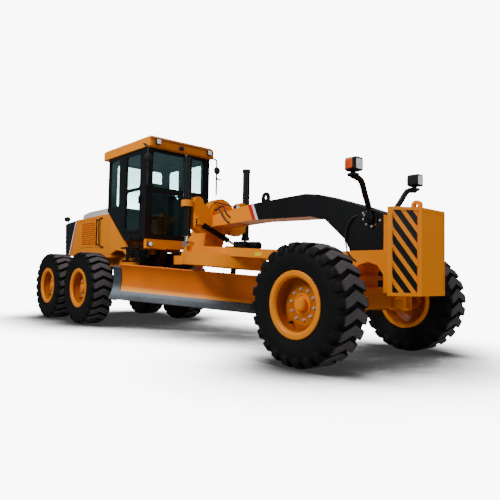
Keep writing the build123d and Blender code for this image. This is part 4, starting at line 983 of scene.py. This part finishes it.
# %% Lenses
LENS = [(0.0, -0.004), (0.0, 0.002), (0.002, 0.004), (0.012, 0.006), (0.03, 0.007)]
ROOF_LENS = LENS[:3] + [(0.012, 0.005)]
RIM = [(-0.008, -0.004), (-0.008, 0.004), (-0.005, 0.0045)]
LAMPS = [  # headlamp, its marker, roof lamp, crossmember lamp, tail lamp
    (3.955, 0.65, 2.21), (3.875, 0.725, 2.215), (-0.32, 0.56, 3.27), (-0.395, 0.63, 1.475), (-4.45, 0.5, 2.19)]
WORK_LAMP = (1.079, 0.09, 2.05)


def round_lens(radius, inner, shoulder=0.006, crown=0.007):
    """The profile of a round lens, from its back to its middle."""
    return [(radius, -0.006), (radius, 0.003), (inner, shoulder), (0.005, crown)]


clear, amber, rims, rear, tail = (Shape() for _ in range(5))
for out in SIDES.values():
    front, marker, roof, cross, back = on_side(out, LAMPS)
    clear.plate(front, ACROSS, UP, (0.056, 0.06), 0.016, LENS)
    rims.plate(front, ACROSS, UP, (0.062, 0.066), 0.02, RIM)
    amber.plate(marker, (-out, 0, 0), UP, (0.048, 0.058), 0.02, LENS)
    rear.plate(roof, ACROSS, UP, (0.038, 0.038), 0.008, ROOF_LENS)
    rear.knob(cross, AHEAD, round_lens(0.036, 0.028))
    tail.knob(back, BACK, round_lens(0.05, 0.04, 0.007, 0.009))
work = Shape().knob(WORK_LAMP, AHEAD, round_lens(0.037, 0.03))
clear.ride("headlamp_lenses", "front_body", *CLEAR)
amber.ride("marker_lenses", "front_body", amber_lens, "glass")
rims.ride("headlamp_rims", "front_body", *PLASTIC)
work.ride("work_lamp_lens", "front_body", *CLEAR)
rear.ride("roof_and_front_lenses", "rear_body", *CLEAR)
tail.ride("tail_lenses", "rear_body", red_lens, "glass")
print("lenses on the lamps")

# %% [markdown]
# ## Round the cab
# Small trim makes a cab read as a cab: a wiper hanging over the windscreen with its motor box on the roof's edge,
# an aerial's foot and mirror glass.

# %% Wiper, aerial foot and mirror glass
WIPER = [(-0.478, 0.13, 3.18), (-0.47, 0.134, 3.06), (-0.474, 0.133, 2.934), (-0.48, 0.115, 2.64),
         (-0.484, 0.094, 2.4)]
WIPER_BLADE = [(-0.491, 0.128, 2.95), (-0.49, 0.11, 2.68), (-0.491, 0.092, 2.44)]
PIVOT = [(0.026, 0.0), (0.026, 0.016), (0.018, 0.026), (0.004, 0.028)]
MOTOR_BOX = [(0.0, -0.004), (0.0, 0.03), (0.004, 0.036), (0.014, 0.038)]
AERIAL = [(-0.64, -0.704, 3.302), (-0.64, -0.707, 3.33), (-0.642, -0.705, 3.372)]
AERIAL_FOOT = [(0.02, -0.004), (0.02, 0.006), (0.012, 0.01), (0.01, 0.018)]
MIRROR_FACE = [(0.066, -0.004), (0.066, 0.001), (0.06, 0.004), (0.004, 0.005)]
MIRROR_Y = 0.752
wiper = Shape().rod(WIPER, 0.008).knob((-0.498, 0.13, 3.18), AHEAD, PIVOT, 16)
wiper.ride("wiper_arm", "rear_body", zinc, "chrome")
Shape().rod(WIPER_BLADE, 0.007, 6).ride("wiper_blade", "rear_body", *PLASTIC)
fittings = Shape().plate((-0.37, -0.07, 3.243), ACROSS, UP, (0.048, 0.032), 0.012, MOTOR_BOX)
fittings.knob((-0.64, -0.69, 3.3), (0, -1, 0), AERIAL_FOOT, 14).rod(AERIAL, 0.004, 8)
fittings.ride("roof_fittings", "rear_body", *PLASTIC)
silver = Shape()
for out in SIDES.values():
    silver.knob((-0.3465, MIRROR_Y * out, 2.96), BACK, MIRROR_FACE, 32)
silver.ride("mirror_glass", "rear_body", chrome_rod, "chrome")
print("cab trim ready")

# %% [markdown]
# ## Posts and mirrors
# The headlamp posts are thick bent tubes, so a smooth sleeve with clamp rings goes over the CAD's bar. The mirrors
# are small round heads on thin stays. A few points give each bend, and a smooth line is drawn through them.

# %% Headlamp posts
def smooth_path(points, per_span=8):
    """A smooth line through every point, by the Catmull-Rom rule."""
    points = [Vector(p) for p in points]
    ends = [points[0] * 2 - points[1]] + points + [points[-1] * 2 - points[-2]]
    path = []
    for i in range(1, len(ends) - 2):
        a, b, c, d = ends[i - 1:i + 3]
        for k in range(per_span):
            t = k / per_span
            path.append(0.5 * (2 * b + (c - a) * t + (2 * a - 5 * b + 4 * c - d) * t * t
                               + (3 * b - a - 3 * c + d) * t * t * t))
    return path + [points[-1]]


POST = [(3.816, 0.246, 1.64), (3.82, 0.262, 1.77), (3.846, 0.372, 1.91), (3.866, 0.462, 2.03),
        (3.872, 0.52, 2.068), (3.878, 0.6, 2.082), (3.88, 0.668, 2.088)]
LAMP_CLAMP = [(0.062, 0.0), (0.066, 0.006), (0.066, 0.024), (0.05, 0.03), (0.03, 0.032), (0.026, 0.05)]
POST_FOOT = [(0.052, -0.026), (0.052, 0.004), (0.044, 0.012), (0.03, 0.014)]
POST_ENDS = [(3.88, 0.65, 2.084), (3.816, 0.246, 1.65)]
post = Shape()
for out in SIDES.values():
    post.rod(smooth_path(on_side(out, POST)), 0.034, 16)
    clamp, foot = on_side(out, POST_ENDS)
    post.knob(clamp, UP, LAMP_CLAMP).knob(foot, (0, out, 0), POST_FOOT)
post.ride("headlamp_posts", "front_body", black_paint, "black_paint")
print("post sleeves on both sides")

# %% Mirrors on their stays
STAY = [(-0.53, 0.702, 3.24), (-0.528, 0.735, 3.238), (-0.49, 0.751, 3.222), (-0.4, 0.752, 3.185),
        (-0.36, 0.752, 3.15), (-0.35, 0.752, 3.08), (-0.35, 0.752, 2.8), (-0.35, 0.752, 2.49)]
MIRROR_BACK = [(0.02, 0.0), (0.048, 0.005), (0.068, 0.015), (0.074, 0.026), (0.074, 0.0335)]
MIRROR_ARM = [(-0.352, 0.745, 2.8), (-0.33, 0.775, 2.797), (-0.318, 0.832, 2.785)]
STAY_CLAMP = [(0.019, 0.0), (0.021, 0.004), (0.021, 0.026), (0.019, 0.03)]
mirror = Shape()
for out in SIDES.values():
    mirror.rod(smooth_path(on_side(out, STAY)), 0.016, 12)
    mirror.knob((-0.312, MIRROR_Y * out, 2.96), BACK, MIRROR_BACK, 32)
    mirror.rod(on_side(out, MIRROR_ARM), 0.013)
    mirror.knob((-0.35, MIRROR_Y * out, 2.785), UP, STAY_CLAMP, 16)
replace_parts(mirror.ride("cab_mirrors", "rear_body", *PLASTIC), "mirrors")
print("mirrors on both sides")

# %% [markdown]
# ## On the hood
# A bent grab rail stands beside each hood door. A thin screen lies behind the door's slots, as it does where a fan
# draws air, and flat seals lie behind the gap round the door, so no light falls through the hood.

# %% Grab rails, screens and seals
RAIL = [(-2.265, 0.59, 1.474), (-2.285, 0.622, 1.472), (-2.35, 0.634, 1.485), (-2.4, 0.636, 1.545),
        (-2.425, 0.636, 1.78), (-2.425, 0.636, 2.0), (-2.395, 0.634, 2.055), (-2.35, 0.622, 2.066),
        (-2.33, 0.59, 2.064)]
SEALS = [((-3.03, 1.4815), (0.46, 0.0215)), ((-3.03, 2.0585), (0.46, 0.0215)), ((-3.484, 1.77), (0.021, 0.266))]
SCREEN_Y, SEAL_Y = 0.5685, 0.5645
for side, out in SIDES.items():
    Shape().rod(smooth_path(on_side(out, RAIL)), 0.014, 12).ride("hood_rail_" + side, "rear_body", *PLASTIC)
    screen = Shape().plate((-3.005, SCREEN_Y * out, 1.772), (-out, 0, 0), UP, (0.352, 0.262), 0.02,
                           [(0.0, -0.0025), (0.0, 0.0025)])
    screen.ride("vent_screen_" + side, f"hood_door_{side}_body", *BODYWORK)
    seal = Shape()
    for (x, z), half in SEALS:
        seal.plate((x, SEAL_Y * out, z), (-out, 0, 0), UP, half, 0.006, [(0.0, -0.005), (0.0, 0.005)])
    seal.ride("hood_seal_" + side, "rear_body", *PLASTIC)
print("rails, screens and seals on both sides")

# %% [markdown]
# ## The lifting eye
# The counterweight is lifted by a thick ring on its top. It is one turned ring with a small chamfer at its rims.

# %% Lifting eye
EYE_PLACE = (4.28, 0.0, 1.785)
EYE_RING = [(0.021, -0.028), (0.058, -0.028), (0.0605, -0.025), (0.0605, 0.025), (0.058, 0.028), (0.021, 0.028)]
Shape().lathe(EYE_PLACE, ACROSS, EYE_RING, 40).ride("lifting_eye", "front_body", *BODYWORK)
print("lifting eye in place")

# %% [markdown]
# ## More bolts
# The nose carries a ring of bolts on each side, and the cutting edge is held by a long row of them. Each is shot
# at the surface from outside, so it sits on it.

# %% Bolts on the nose and the blade
NOSE_BOLTS = [(3.698, 1.728), (3.721, 1.699), (3.705, 1.655), (3.753, 1.741), (3.832, 1.56), (3.925, 1.728),
              (3.931, 1.626), (3.76, 1.59)]
nose = []
for out in SIDES.values():
    nose += seats_on("front_frame", [(x, out, z) for x, z in NOSE_BOLTS], (0, -out, 0))
bolt_on("nose_bolts", nose, "front_body", 0.011, 0.01)

EDGE_ALONG = Vector((0.810081, 0.582574, -0.066154))
EDGE_AHEAD = Vector((0.582574, -0.810081, 0.0)).normalized()
EDGE_BOLTS_Z = 0.45
EDGE_STEP = 0.15
RAY_START = 1.2
EDGE_MIDDLE = Vector((BLADE_X, BLADE_Y, EDGE_BOLTS_Z)) + EDGE_AHEAD * RAY_START
row = [EDGE_MIDDLE + EDGE_ALONG * (EDGE_STEP * k) for k in range(-12, 13)]
edge = seats_on("cutting_edges", row, -EDGE_AHEAD)
bolt_on("edge_bolts", edge, "blade_body", 0.01, 0.006, finish=bare_edge, slot="edge_steel")
print("nose bolts", len(nose), "edge bolts", len(edge))

# %% [markdown]
# ## A plate
# The drawbar carries a small yellow plate. It is left blank, with a rounded edge and two rivets.

# %% Blank plate
PLATE_RAY = (1.95, -1.2, 1.27)
PLATE_EDGE = [(0.0, -0.003), (0.0, 0.0015), (0.001, 0.0025)]
RIVET_OUT, PLATE_FACE = 0.052, 0.0025
plate_paint = machine_paint("plate yellow", rgb(0.92, 0.62, 0.0), dust=0.1)
place, normal = touch("drawbar", PLATE_RAY, ACROSS)
across = Vector(UP).cross(normal).normalized()
tag = Shape().plate(place, across, normal.cross(across), (0.062, 0.03), 0.008, PLATE_EDGE)
tag.ride("drawbar_plate", "drawbar_body", plate_paint, "yellow_paint")
rivets = [(place + across * RIVET_OUT * k + normal * PLATE_FACE, normal) for k in (-1, 1)]
bolt_on("plate_rivets", rivets, "drawbar_body", 0.004, 0.003)
print("plate at", tuple(round(v, 3) for v in place))

# %% [markdown]
# ## The seat
# A seat is stuffed cloth: its faces bulge, its sides pull in between the corners, and seams sink where the cover
# is sewn. Each cushion is a closed net of two faces whose height comes from one formula, with a round piping sewn
# round its edge.

# %% Sizes of the cushions
NET = 30
SEAMS, CROSS_SEAM, SEAM_WIDTH = (-0.62, 0.62), 0.25, 0.07  # shares of a cushion's half sizes
SEAM_DEPTH, CROSS_DEPTH = 0.011, 0.009
PIPING = 0.006
THREADS = 420.0  # to a metre of cloth
PADS = {  # centre, across, up, half sizes, thickness, crown
    "seat_cushion": ((-1.118, 0.0, 2.044), (0, -1, 0), (1, 0, 0), (0.236, 0.232), 0.088, 0.014),
    "seat_back": ((-1.366, 0.0, 2.405), (0, 1, 0), (0.03, 0, 1), (0.226, 0.335), 0.082, 0.018),
}
print("pads", *PADS)


# %% The shape of a cushion
def cushion(name, centre, across, up, half, thick, crown):
    """A stuffed pad, the line along its edge and the way it faces."""
    centre, across, up = Vector(centre), Vector(across).normalized(), Vector(up).normalized()
    normal = across.cross(up)

    def groove(distance):
        return max(1 - abs(distance) / SEAM_WIDTH, 0.0) ** 1.5

    def spot(u, v, side):
        reach = 1.0 - 0.035 * (1 - v * v) * abs(u) ** 3
        waist = 1.0 - 0.03 * (1 - u * u) * abs(v) ** 3
        corner = 1.0 - 0.1 * (u * v) ** 4
        edge = max((1 - u ** 6) * (1 - v ** 6), 0.0) ** 0.42
        lift = thick / 2 * edge + crown * (1 - u * u) * (1 - v * v) * (1.0 if side > 0 else 0.2)
        if edge > 0.3:
            lift -= SEAM_DEPTH * sum(groove(u - seam) for seam in SEAMS)
            lift -= CROSS_DEPTH * groove(v - CROSS_SEAM) * (abs(u) < max(SEAMS))
        return (centre + across * (u * half[0] * reach * corner) + up * (v * half[1] * waist * corner)
                + normal * (lift * side))

    ticks = [-cos(pi * k / NET) for k in range(NET + 1)]
    mesh = bmesh.new()
    faces = {side: [[mesh.verts.new(spot(u, v, side)) for v in ticks] for u in ticks] for side in (1, -1)}
    for side, grid in faces.items():
        for i in range(NET):
            for k in range(NET):
                ring = [grid[i][k], grid[i + 1][k], grid[i + 1][k + 1], grid[i][k + 1]]
                mesh.faces.new(ring if side > 0 else ring[::-1])
    bmesh.ops.remove_doubles(mesh, verts=mesh.verts, dist=0.0004)
    bmesh.ops.recalc_face_normals(mesh, faces=mesh.faces)
    data = bpy.data.meshes.new(name)
    mesh.to_mesh(data)
    mesh.free()
    data.shade_smooth()
    rim = [spot(u, -1.0, 1) for u in ticks] + [spot(1.0, v, 1) for v in ticks[1:]]
    rim += [spot(u, 1.0, 1) for u in reversed(ticks[:-1])] + [spot(-1.0, v, 1) for v in reversed(ticks[1:-1])]
    return data, rim, normal


print("a cushion's net has", NET, "by", NET, "squares on each face")


# %% Cloth and cushions
def seat_cloth():
    paint = Paint("seat cloth")
    x, y, z = paint.xyz()
    weave = ((x + y) * THREADS % 1.0 - 0.5).size() * ((y - x + z) * THREADS % 1.0 - 0.5).size()
    color = paint.mix(paint.noise(14.0, 4.0).fade(0.3, 0.7), rgb(0.018, 0.019, 0.022), rgb(0.035, 0.036, 0.04))
    return paint.set(color=color, rough=0.9, specular=0.1, normal=paint.bump(weave, 0.0008, 0.5))


cloth = seat_cloth()
for name, shape in PADS.items():
    data, rim, normal = cushion(name, *shape)
    pad = settle(name, data, "rear_body", cloth, "seat_fabric")
    if name == "seat_cushion":
        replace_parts(pad, "cab_seat")
    rings = []
    for i, point in enumerate(rim):
        outward = (rim[(i + 1) % len(rim)] - rim[i - 1]).cross(normal).normalized()
        rings.append(circle(point, outward, normal, PIPING, 8))
    Shape().skin(rings, closed=True).ride(name + "_piping", "rear_body", *PLASTIC)
    print(name, len(data.polygons), "faces")

# %% Post and brackets under the seat
SEAT_POST = [(0.1, 0.0), (0.1, 0.006), (0.085, 0.016), (0.085, 0.03)]
BRACKET = [(-1.29, 0.15, 2.0), (-1.372, 0.15, 2.012), (-1.402, 0.15, 2.08), (-1.402, 0.15, 2.3)]
bracket = Shape()
for out in SIDES.values():
    bracket.rod(smooth_path(on_side(out, BRACKET)), 0.013, 12)
bracket.knob((-1.12, 0.0, 1.986), UP, SEAT_POST)
bracket.ride("seat_brackets", "rear_body", *PLASTIC)
print("the seat stands on a post and two brackets")

# %% [markdown]
# ## The floor
# The floor is plain and pale, and it isn't part of the machine. To the camera it is white as the backdrop, and it
# darkens where the machine hides the sky from it, which an Ambient Occlusion node measures. To the light that
# bounces under the machine it is a middling grey, so the undersides stay dark.

# %% Floor
SKY_HIDDEN = (0.22, 0.97)
SHADE_POWER = 6.5
SHADE = 0.045
bpy.ops.mesh.primitive_plane_add(size=60.0, location=(0.0, 0.0, -0.001))
floor = bpy.context.object
floor.name = "floor"
ground = Paint("floor")
bounce = ground.node("BsdfDiffuse", values={"Color": rgb(0.3, 0.3, 0.3)})
open_sky = ground.node("AmbientOcclusion", {"samples": 16}, {"Distance": 1.9}, out="AO").fade(*SKY_HIDDEN)
shade, white = [ground.node("Emission", values={"Color": rgb(1.0, 1.0, 1.0), "Strength": strength})
                for strength in (SHADE, PAGE_WHITE)]
page = ground.node("MixShader", values={0: open_sky.math("POWER", SHADE_POWER), 1: shade, 2: white})
seen = ground.node("LightPath", out="Is Camera Ray")
floor.data.materials.append(ground.show(ground.node("MixShader", values={0: seen, 1: bounce, 2: page})))
print("floor laid")
